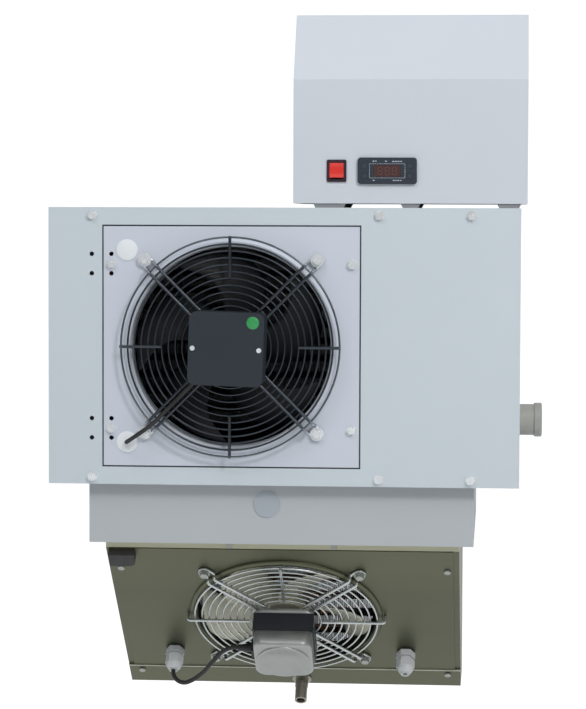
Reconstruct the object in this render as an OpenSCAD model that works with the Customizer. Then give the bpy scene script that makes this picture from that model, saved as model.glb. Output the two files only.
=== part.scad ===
// Ceiling monoblock refrigeration unit for a cold room: a condensing case with its
// control box stands on the ceiling panel, an insulated plug fills the cut-out, and
// the evaporator hangs below. The front faces -Y, and z = 0 is the ceiling's top face.

/* [Condensing case] */
// Width of the case
case_w = 620; // [610:5:700]
// Height of the case
case_h = 365; // [365:1:420]
// Depth of the case
case_d = 460; // [455:5:540]
// Thickness of the painted sheet
sheet = 1.5; // [1.2:0.1:1.8]
// Height of the turned edges that the panels are bolted to
edge_h = 18; // [15:1:18]
// How far the plate between fan and compressor stands right of the middle
divider_x = 118; // [114:1:124]

/* [Fan panel] */
// Width of the removable fan panel
panel_w = 337; // [334:1:340]
// Height of the removable fan panel
panel_h = 315; // [310:1:316]
// Middle of the fan panel, right of the middle of the case
panel_x = -68; // [-74:1:-64]
// Gap all round the fan panel
panel_gap = 2; // [1:0.5:3]
// Width of the seat behind the panel's edge
ledge_w = 18; // [15:1:18]
// Diameter of the air throat
throat_d = 262; // [256:1:266]
// Radius of the rolled edge round a throat
lip_r = 5; // [4:0.5:6]
// Depth of the collar behind a throat
collar_l = 24; // [15:1:30]

/* [Control box] */
// Width of the control box
ctrl_w = 305; // [290:5:330]
// Left side of the control box, right of the middle of the case
ctrl_x = 13; // [0:1:20]
// Depth of the control box
ctrl_d = 170; // [140:5:220]
// Height of its upright face
ctrl_face_h = 161; // [150:1:180]
// Height of its sloping face
ctrl_slope_h = 87; // [70:1:100]
// How far the sloping face runs back
ctrl_slope_d = 50; // [40:1:60]
// Height of the feet under the control box
ctrl_lift = 5.6; // [4:0.2:10]

/* [Plug] */
// Width of the insulated plug
plug_w = 510; // [500:5:520]
// Depth of the plug
plug_d = 420; // [410:5:420]
// Height of the plug, the thickness of the ceiling panel
plug_h = 80; // [60:5:120]
// Middle of the plug, right of the middle of the case
plug_x = -4; // [-8:1:4]
// How far the plug stands back from the case front
plug_back = 20; // [20:1:26]

/* [Evaporator] */
// Width of the evaporator housing
evap_w = 472; // [466:1:480]
// Depth of the evaporator housing
evap_d = 380; // [370:5:385]
// How far the housing stands back from the case front
evap_back = 40; // [35:1:45]
// Height of the upright edge over the slope
evap_edge_h = 9; // [6:0.5:14]
// Angle of the slope from upright
slope = 48; // [44:1:50]
// Length of the slope
slope_l = 334; // [330:1:340]
// Length of the fan plate along the slope
plate_l = 291; // [288:1:294]
// Thickness of the stainless sheet
steel = 1.2; // [1:0.1:1.4]

/* [Mounts] */
// Distance of the ceiling bolts along X
bolt_dx = 560; // [556:1:570]
// Distance of the ceiling bolts along Y
bolt_dy = 380; // [360:5:390]
// Diameter of the ceiling bolt holes
bolt_hole_d = 9; // [7:0.5:10]
// Outer diameter of the stub on the right side
stub_d = 42; // [36:1:46]
// Length of the stub outside the panel
stub_l = 31; // [25:1:45]
// Outer diameter of the drain spigot
drain_d = 17; // [15:0.5:20]
// Length of the drain spigot
drain_l = 38; // [30:1:45]

/* [Fans] */
// Number of blades on each fan
blades = 5; // [4:1:6]
// Diameter of the condenser fan
cond_fan_d = 250; // [244:1:252]
// Diameter of the evaporator fan
evap_fan_d = 236; // [230:1:238]
// Diameter of the fan shafts
shaft_d = 8; // [6:0.5:9]
// Radial running clearance of the shafts
shaft_fit = 0.05; // [0.03:0.01:0.1]

/* [Hidden] */
$fn = 64;

// Colours
paint = [0.77, 0.81, 0.83];
paint_lilac = [0.77, 0.80, 0.84];
plug_grey = [0.65, 0.67, 0.68];
stainless = [0.42, 0.43, 0.37];
zinc = [0.72, 0.73, 0.74];
black = [0.08, 0.09, 0.11];
copper = [0.72, 0.45, 0.30];
foam = [0.93, 0.90, 0.78];

// Planes of the case
front_y = -case_d / 2;
rear_y = case_d / 2;
in_w = case_w - 2 * sheet;
in_d = case_d - 2 * sheet;
mid_z = case_h / 2;
// Overrun of every cut
over = 2;
// Small gap between fixed neighbours that don't bear on each other
slack = 0.3;
// Clearance of a shank in its hole
shank_fit = 0.1;

// Bolts
m6 = 6;
m6_washer_d = 13;
m6_washer_t = 1.2;
m6_head_af = 10;
m6_head_h = 4;
m6_l = 14;
panel_bolt_x = [-252, 126, 246];
panel_bolt_in = 10;
fan_bolt_x = 158.3;
fan_bolt_z = 108.3;
hinge_hole_d = 6;
hinge_hole_dz = 12.8;
hinge_hole_out = 26;
cap_d = 28;
cap_h = 3;
cap_rim_h = 1;
cap_stem_d = 20;
cap_stem_l = 6;
cap_x = 137.5;
cap_z = 126.5;
ledge_out = 2;

// Panel with opening to the coil
coil_open_side = 12;
louvre_n = 8;
louvre_w = 120;
louvre_pitch = 26;
louvre_h = 9;
louvre_out = 6;
louvre_slot = 6;

// Coils
coil_d = 46;
coil_end_t = 1.5;
coil_left = 22;
coil_right = 22;
fin_pitch = 5;
fin_gap = 3.4;
fin_groove = 14;
tube_d = 9.5;
tube_pitch = 25;
row_pitch = 22;
tube_stub = 3;
cond_tubes = 12;
evap_tubes = 8;
evap_coil_w = 410;
evap_coil_back = 12;
evap_coil_h = 212;

// Compressor and pipes
comp_x = 213;
comp_y = 20;
comp_d = 124;
comp_h = 165;
comp_round = 30;
comp_foot_w = 150;
comp_foot_d = 116;
comp_foot_t = 3;
comp_foot_r = 14;
comp_foot_in = 14;
grommet_d = 22;
grommet_h = 12;
grommet_bore = 9;
term_w = 52;
term_h = 46;
term_out = 24;
stub_port_l = 10;
suction_d = 12.7;
discharge_d = 8;
liquid_d = 6.4;
pipe_bend = 10;
pipe_hole_gap = 2;
suction_z = 95;
suction_y = 115;
discharge_x = 190;
discharge_up = 14;
drier_x = 150;
drier_d = 26;
drier_l = 96;
drier_neck = 12;
drier_z = 72;
liquid_top_z = 215;
liquid_out = 20;

// Wire guards
ring_wire = 2.6;
arm_wire = 4;
weld = 0.3;
arm_gap = 13;
arm_bend = 4;
cond_guard_r = 143.7;
cond_ring_pitch = 9;
cond_rings = 11;
cond_ring_z = 14.5;
cond_arm_in = 42;
cond_knee_r = 149;
cond_foot_r = 160.5;
cond_spoke_in = 90;
cond_spoke_out = 145.5;
evap_guard_r = 125.7;
evap_ring_pitch = 9.7;
evap_rings = 9;
evap_ring_z = 8.5;
evap_arm_in = 30;
evap_knee_r = 136;
evap_foot_r = 148.5;
evap_spoke_out = 136;
evap_spoke_in = 50;
foot_washer_d = 18;
foot_washer_t = 1.5;

// Condenser motor
cover_w = 97;
cover_h = 95;
cover_r = 10;
cover_wall = 2;
cover_out = 68;
cover_tilt = -1.8;
motor_seat_t = 2;
cond_can_d = 74;
cond_can_l = 38;
boss_d = 6.6;
boss_x = 43;
cover_screw_d = 3;
cover_screw_head_d = 6.4;
cover_screw_head_h = 1.8;
cover_screw_l = 12;
spot_d = 16;
spot_x = 34;
spot_z = 35;
spot_t = 0.4;

// Evaporator motor
stack_w = 83;
stack_r = 7;
front_cap_l = 11;
stack_l = 27;
rear_cap_l = 26;
cap_inset = 1.5;
emboss_d = 73;
emboss_h = 2;
emboss_ring = 5;
evap_motor_gap = 0.1;
relief_drop = 26;
relief_l = 25;
relief_d = 13;
relief_tip_d = 9;
relief_base = 6;
relief_h = 36;

// Fan wheels
cond_hub_d = 78;
cond_hub_back = 32;
cond_hub_front = 2;
evap_hub_d = 62;
evap_hub_back = 26;
evap_hub_front = 3;
hub_wall = 4;
hub_boss_d = 22;

// Ceiling plug
plug_skin = 1;
plug_cap_d = 35;
plug_cap_t = 1.2;
plug_cap_stem_d = 28;
plug_cap_stem_l = 10;
plug_cap_x = -18;
plug_cap_drop = 26.6;

// Evaporator
evap_fan_x = -2.5;
evap_fan_t = 156;
plate_t = 1.6;
plate_side = 8;
side_flange = 22;
top_flange = 16;
rear_flange = 10;
evap_throat_d = 246;
gland_x = 162.4;
gland_t = 247;
gland_bore = 6;
gland_body_af = 23;
gland_body_l = 9;
gland_neck_d = 18;
gland_neck_l = 3;
gland_nut_af = 22;
gland_nut_l = 12;
gland_dome_l = 10;
gland_tip_d = 13;
gasket_d = 25;
gasket_t = 2;
drain_x = 10;
drain_t = 321;
drain_wall = 2.4;
drain_rib = 0.7;
drain_rib_l = 2;
drain_rib_n = 3;
drain_flange_d = 27;
drain_flange_t = 2;
pan_turn = 14;
plate_screw_d = 5;
plate_screw_head_d = 9;
plate_screw_head_h = 2.4;
plate_screw_l = 9;
seal_w = 35;
seal_h = 25;
seal_t = 12;
seal_r = 9;
seal_in = 4;

// Controls
switch_x = 56.8;
dial_x = 122.8;
control_z = 42.4;
switch_w = 25.7;
switch_h = 29;
switch_rim = 2;
switch_body_w = 22;
switch_body_h = 26;
switch_body_l = 16;
switch_open_w = 19;
switch_open_h = 22;
switch_back_t = 2;
rocker_w = 18.4;
rocker_half = 9.6;
rocker_end = 3.5;
rocker_waist = 1.8;
rocker_back = 6;
rocker_pivot = -2;
rocker_tilt = 8;
rocker_pin_d = 3;
rocker_pin_l = 1.5;
rocker_pin_fit = 0.05;
bezel_w = 77;
bezel_h = 34.5;
bezel_r = 4;
bezel_out = 4;
bezel_plate = 1.6;
bezel_wall = 1.6;
case_body_w = 71;
case_body_h = 29;
case_body_l = 58;
case_flange_t = 0.6;
window_w = 35;
window_h = 15;
window_x = 0;
window_r = 1;
window_t = 1.4;
window_flange = 1.5;
window_flange_t = 0.8;
key_w = 7;
key_h = 6;
key_r = 1.2;
key_x = 29.5;
key_z = 6.6;
key_proud = 0.5;
key_flange = 0.8;
key_flange_t = 0.8;
key_gap = 0.3;
key_seat = 0.05;

// Right side stub
stub_wall = 3;
stub_lip_d = 46;
stub_lip_l = 11;
stub_chamfer = 1.5;
stub_flange_d = 54;
stub_flange_t = 3;
stub_in = 6;
stub_z = 80;
stub_y = -95;
stub_fit = 0.1;

// Free lead from the evaporator motor to its gland: points chosen by hand
cable_d = 6;
cable_sides = 8;
cable_route = [
    [-73, -81, -240], [-81, -81, -240.5], [-90, -79.5, -244], [-98, -76, -250], [-106, -71, -259],
    [-114, -65, -268], [-122, -59, -278], [-131, -54, -286], [-141, -49, -293], [-151, -46, -297],
    [-160, -43.5, -295.5], [-166, -39.5, -291], [-168.5, -35.5, -286.5], [-169, -32, -282]
];

// Places worked out from the sizes above
open_w = panel_w + 2 * panel_gap;
open_h = panel_h + 2 * panel_gap;
evap_front_y = front_y + evap_back;
evap_rear_y = evap_front_y + evap_d;
slope_z = -plug_h - evap_edge_h;
floor_z = slope_z - slope_l * cos(slope);
ctrl_z = case_h + ctrl_lift;
ctrl_top = ctrl_z + ctrl_face_h + ctrl_slope_h;
ctrl_fold = atan(ctrl_slope_d / ctrl_slope_h);
cond_arm_z = cond_ring_z + (ring_wire + arm_wire) / 2 - weld;
evap_arm_z = evap_ring_z + (ring_wire + arm_wire) / 2 - weld;
cond_motor_z = cond_arm_z + arm_wire / 2 + evap_motor_gap;
evap_motor_z = evap_arm_z + arm_wire / 2 + evap_motor_gap;
coil_x0 = -in_w / 2 + coil_left;
coil_x1 = divider_x - coil_right;
coil_w = coil_x1 - coil_x0;
coil_y = rear_y - sheet;
cond_coil_h = case_h - 2 * sheet - 2 * edge_h - 2 * over;
cond_tube_z0 = mid_z - (cond_tubes - 1) * tube_pitch / 2;
evap_coil_y = evap_rear_y - evap_coil_back;
evap_coil_top = -plug_h - steel;
evap_tube_z0 = evap_coil_top - evap_coil_h / 2 - (evap_tubes - 1) * tube_pitch / 2;
evap_end_x = plug_x + evap_coil_w / 2 + coil_end_t;
evap_pipe_x = evap_end_x + liquid_out;
suction_x = evap_end_x + pipe_bend + slack;
comp_z = sheet + grommet_h + comp_foot_t;
comp_top = comp_z + comp_h;
cond_row_y = coil_y - coil_d / 2 - row_pitch / 2;
cond_row2_y = coil_y - coil_d / 2 + row_pitch / 2;
evap_row_y = evap_coil_y - coil_d / 2 - row_pitch / 2;
evap_mid_y = evap_coil_y - coil_d / 2;

// A point of the slope: t runs down it, h stands out from it, as [y, z]
function slope_pt(t, h) = [
    evap_front_y + t * sin(slope) - h * cos(slope),
    slope_z - t * cos(slope) - h * sin(slope)
];
function unit(v) = v / norm(v);
function mix(a, b, u) = a + (b - a) * u;

// Frames: local x runs right, y up the face, z out of the face
module on_panel() {
    translate([panel_x, front_y, mid_z]) rotate([90, 0, 0]) children();
}
module on_front() {
    translate([0, front_y, 0]) rotate([90, 0, 0]) children();
}
module on_slope() {
    translate([plug_x, evap_front_y, slope_z]) rotate([90 + slope, 0, 0]) children();
}
module on_evap_fan() {
    on_slope() translate([evap_fan_x, -evap_fan_t, 0]) children();
}
module on_switch() {
    on_front() translate([ctrl_x + switch_x, ctrl_z + control_z, 0]) children();
}
module on_controller() {
    on_front() translate([ctrl_x + dial_x, ctrl_z + control_z, 0]) children();
}
module four(x, y) {
    for (sx = [-1, 1], sy = [-1, 1])
        translate([sx * x, sy * y, 0]) children();
}

// Profiles and shared pieces
module rounded_rect(w, h, r) {
    square([w - 2 * r, h], center = true);
    square([w, h - 2 * r], center = true);
    for (sx = [-1, 1], sy = [-1, 1])
        translate([sx * (w / 2 - r), sy * (h / 2 - r)]) circle(r = r);
}
module block(from, to) {
    translate(from) cube(to - from);
}
module hole(d, l) {
    translate([0, 0, -l]) cylinder(d = d, h = 2 * l);
}
module along(from, to) {
    w = unit(to - from);
    u = abs(w.z) > 0.9 ? [1, 0, 0] : unit(cross([0, 0, 1], w));
    v = cross(w, u);
    multmatrix([
        [u.x, v.x, w.x, from.x], [u.y, v.y, w.y, from.y], [u.z, v.z, w.z, from.z], [0, 0, 0, 1]
    ]) children();
}
// A round bar through square corners, each turned with the same bend
module bent_tube(pts, d, bend) {
    last = len(pts) - 1;
    for (i = [0 : last - 1]) {
        w = unit(pts[i + 1] - pts[i]);
        from = pts[i] + w * (i == 0 ? 0 : bend);
        to = pts[i + 1] - w * (i == last - 1 ? 0 : bend);
        along(from, to) cylinder(d = d, h = norm(to - from));
    }
    for (i = [1 : 1 : last - 1]) {
        a = unit(pts[i] - pts[i - 1]);
        b = unit(pts[i + 1] - pts[i]);
        c = pts[i] + (b - a) * bend;
        w = cross(-b, a);
        multmatrix([
            [-b.x, a.x, w.x, c.x], [-b.y, a.y, w.y, c.y], [-b.z, a.z, w.z, c.z], [0, 0, 0, 1]
        ]) rotate_extrude(angle = 90) translate([bend, 0]) circle(d = d);
    }
}
// A hexagon bolt on its washer, head up, its shank going down through the sheet
module bolt(washer_d, washer_t, shank_l) {
    cylinder(d = washer_d, h = washer_t);
    translate([0, 0, washer_t]) cylinder(d = m6_head_af / cos(30), h = m6_head_h, $fn = 6);
    translate([0, 0, -shank_l]) cylinder(d = m6, h = shank_l);
}
module pan_screw(d, head_d, head_h, l) {
    cylinder(d = head_d, h = head_h);
    translate([0, 0, -l]) cylinder(d = d, h = l);
}
// Rolled edge and collar round an air throat
module throat_ring(d) {
    rotate_extrude() {
        difference() {
            translate([d / 2 + lip_r, 0]) circle(r = lip_r);
            translate([d / 2 + lip_r, 0]) circle(r = lip_r - sheet);
            translate([d / 2 - over, -lip_r - over]) square([2 * lip_r + 2 * over, lip_r + over]);
        }
        translate([d / 2, -collar_l]) square([sheet, collar_l]);
    }
}
// Fin block: grooves down both faces, on a solid middle
module fin_block(w, h) {
    n = floor((w - fin_gap) / fin_pitch);
    start = (w - (n - 1) * fin_pitch - fin_gap) / 2;
    front = [for (i = [0 : n - 1], p = [[0, 0], [0, 1], [1, 1], [1, 0]])
        [start + i * fin_pitch + p[0] * fin_gap, p[1] * fin_groove]];
    back = [for (i = [len(front) - 1 : -1 : 0]) [front[i].x, coil_d - front[i].y]];
    linear_extrude(h) polygon(concat([[0, 0]], front, [[w, 0], [w, coil_d]], back, [[0, coil_d]]));
}
// Return bends on one end of a coil: pairs of tubes from number first on
module return_bends(first, tubes, z0, y0, side) {
    for (row = [0, 1], i = [first : 2 : tubes - 2])
        translate([0, y0 + row * row_pitch, z0 + i * tube_pitch + tube_pitch / 2]) {
            for (s = [-1, 1])
                translate([0, 0, s * tube_pitch / 2]) rotate([0, side * 90, 0])
                    cylinder(d = tube_d, h = tube_stub);
            translate([side * tube_stub, 0, 0]) rotate([90, 0, 0]) rotate([0, 0, -side * 90])
                rotate_extrude(angle = 180) translate([tube_pitch / 2, 0]) circle(d = tube_d);
        }
}
// Round wire guard with four double arms that end in bolted loops
module wire_guard(guard_r, pitch, rings, ring_z, arm_z, arm_in, knee_r, foot_r) {
    foot_z = arm_wire / 2;
    for (i = [0 : rings - 1])
        translate([0, 0, ring_z]) rotate_extrude()
            translate([guard_r - i * pitch, 0]) circle(d = ring_wire);
    for (a = [45 : 90 : 315]) rotate([0, 0, a]) {
        for (y = [-arm_gap / 2, arm_gap / 2])
            bent_tube(
                [[arm_in, y, arm_z], [knee_r, y, arm_z], [knee_r, y, foot_z], [foot_r, y, foot_z]],
                arm_wire, arm_bend);
        translate([foot_r, 0, foot_z]) rotate([0, 0, -90])
            rotate_extrude(angle = 180) translate([arm_gap / 2, 0]) circle(d = arm_wire);
    }
}
// One blade: cambered sections on cylinders, twisted and swept towards the tip
module fan_blade(r0, r1, chords, pitches, sweep, camber, thick, z) {
    rows = 7;
    cuts = 6;
    ring = [for (k = [0 : cuts - 1]) [k / (cuts - 1) - 0.5, 1],
        for (k = [cuts - 1 : -1 : 0]) [k / (cuts - 1) - 0.5, -1]];
    n = len(ring);
    pts = [for (j = [0 : rows - 1], p = ring)
        let (
            u = j / (rows - 1),
            r = mix(r0, r1, u),
            chord = mix(chords[0], chords[1], u),
            pitch = mix(pitches[0], pitches[1], u),
            s = p[0],
            bow = 1 - 4 * s * s,
            half = thick * (0.25 + 0.25 * bow),
            a = sweep * u * u + s * chord * cos(pitch) / r * 180 / PI
        )
        [r * cos(a), r * sin(a), z + s * chord * sin(pitch) + camber * chord * bow + p[1] * half]];
    sides = [for (j = [0 : rows - 2], k = [0 : n - 1])
        let (a = j * n + k, b = j * n + (k + 1) % n)
        each [[a, b, a + n], [b, b + n, a + n]]];
    root = [for (k = [0 : cuts - 2]) each [[n - 2 - k, k + 1, k], [n - 1 - k, n - 2 - k, k]]];
    tip = [for (f = root) [for (i = [2 : -1 : 0]) f[i] + (rows - 1) * n]];
    polyhedron(points = pts, faces = concat(sides, root, tip));
}
module fan_wheel(d, hub_d, back, front, chords, pitches, sweep, camber, thick) {
    difference() {
        union() {
            translate([0, 0, -back]) cylinder(d = hub_d, h = back + front);
            for (i = [0 : blades - 1])
                rotate([0, 0, i * 360 / blades])
                    fan_blade(hub_d / 2 - hub_wall, d / 2, chords, pitches, sweep, camber, thick,
                        (front - back) / 2);
        }
        difference() {
            translate([0, 0, -back - over]) cylinder(d = hub_d - 2 * hub_wall - over, h = back + front - hub_wall + over);
            translate([0, 0, -back - over]) cylinder(d = hub_boss_d, h = back + front + over);
        }
        hole(shaft_d + 2 * shaft_fit, back + front + over);
    }
}
// A hand-made route swept as a round tube
module cable(route, d) {
    n = len(route);
    dirs = [for (i = [0 : n - 1]) unit(route[min(i + 1, n - 1)] - route[max(i - 1, 0)])];
    pts = [for (i = [0 : n - 1], k = [0 : cable_sides - 1])
        let (
            u = unit(cross(dirs[i], [1, -2, 1])),
            v = cross(dirs[i], u),
            a = k * 360 / cable_sides
        )
        route[i] + (u * cos(a) + v * sin(a)) * d / 2];
    sides = [for (i = [0 : n - 2], k = [0 : cable_sides - 1])
        let (a = i * cable_sides + k, b = i * cable_sides + (k + 1) % cable_sides)
        each [[a, b, a + cable_sides], [b, b + cable_sides, a + cable_sides]]];
    start = [for (k = [cable_sides - 1 : -1 : 0]) k];
    end = [for (k = [0 : cable_sides - 1]) (n - 1) * cable_sides + k];
    polyhedron(points = pts, faces = concat([start], sides, [end]));
}

// Condensing case
module bolt_row(z) {
    for (x = panel_bolt_x) translate([x, z, 0]) children();
}
module panel_bolt_places() {
    bolt_row(panel_bolt_in) children();
    bolt_row(case_h - panel_bolt_in) children();
}
module fan_panel_holes() {
    on_panel() four(fan_bolt_x, fan_bolt_z) hole(m6 + 2 * shank_fit, case_d / 4);
}
module base_pan() {
    color(zinc) difference() {
        block([-in_w / 2, -in_d / 2, 0], [in_w / 2, in_d / 2, edge_h]);
        block([-in_w / 2 + sheet, -in_d / 2 + sheet, sheet], [in_w / 2 - sheet, in_d / 2 - sheet, edge_h + over]);
        plug_block(-slack, edge_h);
        four(bolt_dx / 2, bolt_dy / 2) hole(bolt_hole_d, edge_h);
        on_front() bolt_row(panel_bolt_in) hole(m6 + 2 * shank_fit, case_d + over);
    }
}
module front_panel() {
    color(paint) difference() {
        union() {
            block([-case_w / 2, front_y, 0], [case_w / 2, front_y + sheet, case_h]);
            on_panel() translate([0, 0, -2 * sheet]) linear_extrude(sheet)
                square([open_w + 2 * ledge_out, open_h + 2 * ledge_out], center = true);
        }
        on_panel() {
            translate([0, 0, -sheet]) linear_extrude(sheet + over) square([open_w, open_h], center = true);
            translate([0, 0, -2 * sheet - over]) linear_extrude(2 * sheet + 2 * over)
                square([panel_w - 2 * ledge_w, panel_h - 2 * ledge_w], center = true);
        }
        fan_panel_holes();
        on_panel() for (x = [-fan_bolt_x, -fan_bolt_x - hinge_hole_out], sz = [-1, 1], s = [-1, 1])
            translate([x, sz * fan_bolt_z + s * hinge_hole_dz, 0]) hole(hinge_hole_d, ledge_w);
        on_front() panel_bolt_places() hole(m6 + 2 * shank_fit, ledge_w);
    }
}
module fan_panel() {
    color(paint_lilac) difference() {
        union() {
            on_panel() translate([0, 0, -sheet]) linear_extrude(sheet) square([panel_w, panel_h], center = true);
            on_panel() throat_ring(throat_d);
        }
        on_panel() {
            hole(throat_d, collar_l + over);
            four(cond_foot_r * cos(45), cond_foot_r * sin(45)) hole(m6 + 2 * shank_fit, ledge_w);
            for (s = [-1, 1]) translate([-cap_x, s * cap_z, 0]) hole(cap_stem_d + 2 * shank_fit, ledge_w);
            for (sz = [-1, 1], s = [-1, 1])
                translate([-fan_bolt_x, sz * fan_bolt_z + s * hinge_hole_dz, 0]) hole(hinge_hole_d, ledge_w);
        }
        fan_panel_holes();
    }
}
module fan_panel_bolts() {
    color(zinc) on_panel() four(fan_bolt_x, fan_bolt_z) bolt(m6_washer_d, m6_washer_t, m6_l);
}
module hole_caps() {
    color("white") on_panel() for (s = [-1, 1]) translate([-cap_x, s * cap_z, 0]) {
        cylinder(d = cap_d, h = cap_rim_h);
        intersection() {
            dome_r = (cap_d * cap_d / 4 + (cap_h - cap_rim_h) * (cap_h - cap_rim_h)) / (2 * (cap_h - cap_rim_h));
            translate([0, 0, cap_h - dome_r]) sphere(r = dome_r);
            translate([0, 0, cap_rim_h]) cylinder(d = cap_d, h = cap_h);
        }
        translate([0, 0, -cap_stem_l]) cylinder(d = cap_stem_d, h = cap_stem_l);
    }
}
module panel_bolts() {
    color(zinc) {
        on_front() panel_bolt_places() bolt(m6_washer_d, m6_washer_t, m6_l);
        translate([0, rear_y, 0]) rotate([-90, 0, 0]) mirror([0, 1, 0]) panel_bolt_places()
            bolt(m6_washer_d, m6_washer_t, m6_l);
    }
}
module top_cover() {
    color(paint) difference() {
        block([-case_w / 2, -in_d / 2, case_h - sheet - edge_h], [case_w / 2, in_d / 2, case_h]);
        block([-in_w / 2 + sheet, -in_d / 2 + sheet, 0], [in_w / 2 - sheet, in_d / 2 - sheet, case_h - sheet]);
        for (s = [-1, 1])
            block([s * (in_w + case_w + 2 * over) / 4 - (sheet + over) / 2, -case_d, 0],
                [s * (in_w + case_w + 2 * over) / 4 + (sheet + over) / 2, case_d, case_h - sheet]);
        on_front() bolt_row(case_h - panel_bolt_in) hole(m6 + 2 * shank_fit, case_d + over);
    }
}
module side_sheet(x) {
    block([x, -in_d / 2, 0], [x + sheet, in_d / 2, case_h - sheet]);
}
module left_side_panel() {
    color(paint) side_sheet(-case_w / 2);
}
module right_side_panel() {
    color(paint) difference() {
        side_sheet(case_w / 2 - sheet);
        translate([case_w / 2, stub_y, stub_z]) rotate([0, 90, 0]) hole(stub_d + 2 * stub_fit, stub_in);
    }
}
module louvre_places() {
    for (i = [0 : louvre_n - 1])
        translate([(divider_x + case_w / 2 - louvre_w) / 2, rear_y, mid_z + (i - (louvre_n - 1) / 2) * louvre_pitch])
            children();
}
module rear_panel() {
    color(paint) {
        difference() {
            block([-case_w / 2, rear_y - sheet, 0], [case_w / 2, rear_y, case_h]);
            block([coil_x0 + coil_open_side, rear_y - sheet - over, edge_h + 2 * coil_open_side],
                [coil_x1 - coil_open_side, rear_y + over, case_h - edge_h - 2 * coil_open_side]);
            louvre_places() block([sheet, -sheet - over, -louvre_slot], [louvre_w - sheet, over, 0]);
            translate([0, rear_y, 0]) rotate([-90, 0, 0]) mirror([0, 1, 0]) panel_bolt_places()
                hole(m6 + 2 * shank_fit, sheet + over);
        }
        louvre_places() rotate([90, 0, 90]) linear_extrude(louvre_w)
            polygon([[0, louvre_h - louvre_slot + sheet], [louvre_out, -louvre_slot + sheet], [louvre_out, -louvre_slot],
                [louvre_out - sheet, -louvre_slot], [0, louvre_h - louvre_slot - sheet]]);
    }
}
module divider_panel() {
    color(zinc) difference() {
        block([divider_x, -in_d / 2 + sheet, sheet], [divider_x + sheet, in_d / 2 - sheet, case_h - sheet]);
        translate([divider_x, cond_row_y, cond_top_tube_z()]) rotate([0, 90, 0])
            hole(discharge_d + 2 * pipe_hole_gap, 2 * sheet);
        translate([divider_x, cond_row2_y, cond_tube_z0]) rotate([0, 90, 0])
            hole(liquid_d + 2 * pipe_hole_gap, 2 * sheet);
    }
}
function cond_top_tube_z() = cond_tube_z0 + (cond_tubes - 1) * tube_pitch;
function evap_top_tube_z() = evap_tube_z0 + (evap_tubes - 1) * tube_pitch;

// Coils
module condenser_coil() {
    color([0.75, 0.76, 0.78]) {
        translate([coil_x0 + coil_end_t, coil_y - coil_d, edge_h + sheet + over])
            fin_block(coil_w - 2 * coil_end_t, cond_coil_h);
        for (x = [coil_x0, coil_x1 - coil_end_t])
            block([x, coil_y - coil_d, sheet], [x + coil_end_t, coil_y - sheet, case_h - sheet - edge_h - over]);
    }
}
module condenser_bends() {
    color(copper) {
        translate([coil_x0, 0, 0]) return_bends(0, cond_tubes, cond_tube_z0, cond_row_y, -1);
        translate([coil_x1, 0, 0]) return_bends(1, cond_tubes, cond_tube_z0, cond_row_y, 1);
    }
}
module evaporator_coil() {
    color([0.75, 0.76, 0.78]) {
        translate([plug_x - evap_coil_w / 2, evap_coil_y - coil_d, evap_coil_top - evap_coil_h])
            fin_block(evap_coil_w, evap_coil_h);
        for (s = [-1, 1])
            translate([plug_x + s * (evap_coil_w + coil_end_t) / 2 - coil_end_t / 2, evap_coil_y - coil_d, evap_coil_top - evap_coil_h])
                cube([coil_end_t, coil_d, evap_coil_h]);
    }
}
module evaporator_bends() {
    color(copper) {
        translate([2 * plug_x - evap_end_x, 0, 0]) return_bends(0, evap_tubes, evap_tube_z0, evap_row_y, -1);
        translate([evap_end_x, 0, 0]) return_bends(1, evap_tubes, evap_tube_z0, evap_row_y, 1);
    }
}

// Compressor and pipes
module compressor_feet() {
    four((comp_foot_w / 2 - comp_foot_in), (comp_foot_d / 2 - comp_foot_in)) children();
}
module compressor_shell() {
    color([0.12, 0.12, 0.13]) translate([comp_x, comp_y, comp_z]) {
        rotate_extrude() {
            square([comp_d / 2 - comp_round, comp_h]);
            translate([0, comp_round]) square([comp_d / 2, comp_h - 2 * comp_round]);
            for (z = [comp_round, comp_h - comp_round]) translate([comp_d / 2 - comp_round, z]) circle(r = comp_round);
        }
        difference() {
            translate([0, 0, -comp_foot_t]) linear_extrude(comp_foot_t) rounded_rect(comp_foot_w, comp_foot_d, comp_foot_r);
            compressor_feet() hole(grommet_bore, grommet_h);
        }
        translate([0, 0, suction_z - comp_z]) rotate([-90, 0, 0]) cylinder(d = suction_d + 2 * sheet, h = comp_d / 2 + stub_port_l);
        translate([discharge_x - comp_x, 0, comp_h - comp_round])
            cylinder(d = discharge_d + 2 * sheet, h = comp_round + stub_port_l);
    }
}
module compressor_grommets() {
    color([0.1, 0.1, 0.1]) translate([comp_x, comp_y, sheet]) compressor_feet() {
        cylinder(d = grommet_d, h = grommet_h);
        translate([0, 0, grommet_h]) cylinder(d = grommet_bore - 2 * shank_fit, h = comp_foot_t);
        translate([0, 0, grommet_h + comp_foot_t]) cylinder(d = grommet_d - 2 * comp_foot_t, h = comp_foot_t);
    }
}
module terminal_cover() {
    color([0.15, 0.15, 0.16]) translate([comp_x, comp_y, comp_z + comp_h / 2]) difference() {
        rotate([90, 0, 0]) linear_extrude(comp_d / 2 + term_out) rounded_rect(term_w, term_h, pipe_bend / 2);
        cylinder(d = comp_d + 2 * slack, h = comp_h, center = true);
    }
}
module filter_drier() {
    color(copper) translate([drier_x, evap_mid_y, drier_z]) rotate_extrude()
        polygon([[0, 0], [liquid_d / 2 + sheet, 0], [liquid_d / 2 + sheet, drier_neck / 2], [drier_d / 2, drier_neck],
            [drier_d / 2, drier_l - drier_neck], [liquid_d / 2 + sheet, drier_l - drier_neck / 2],
            [liquid_d / 2 + sheet, drier_l], [0, drier_l]]);
}
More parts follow.
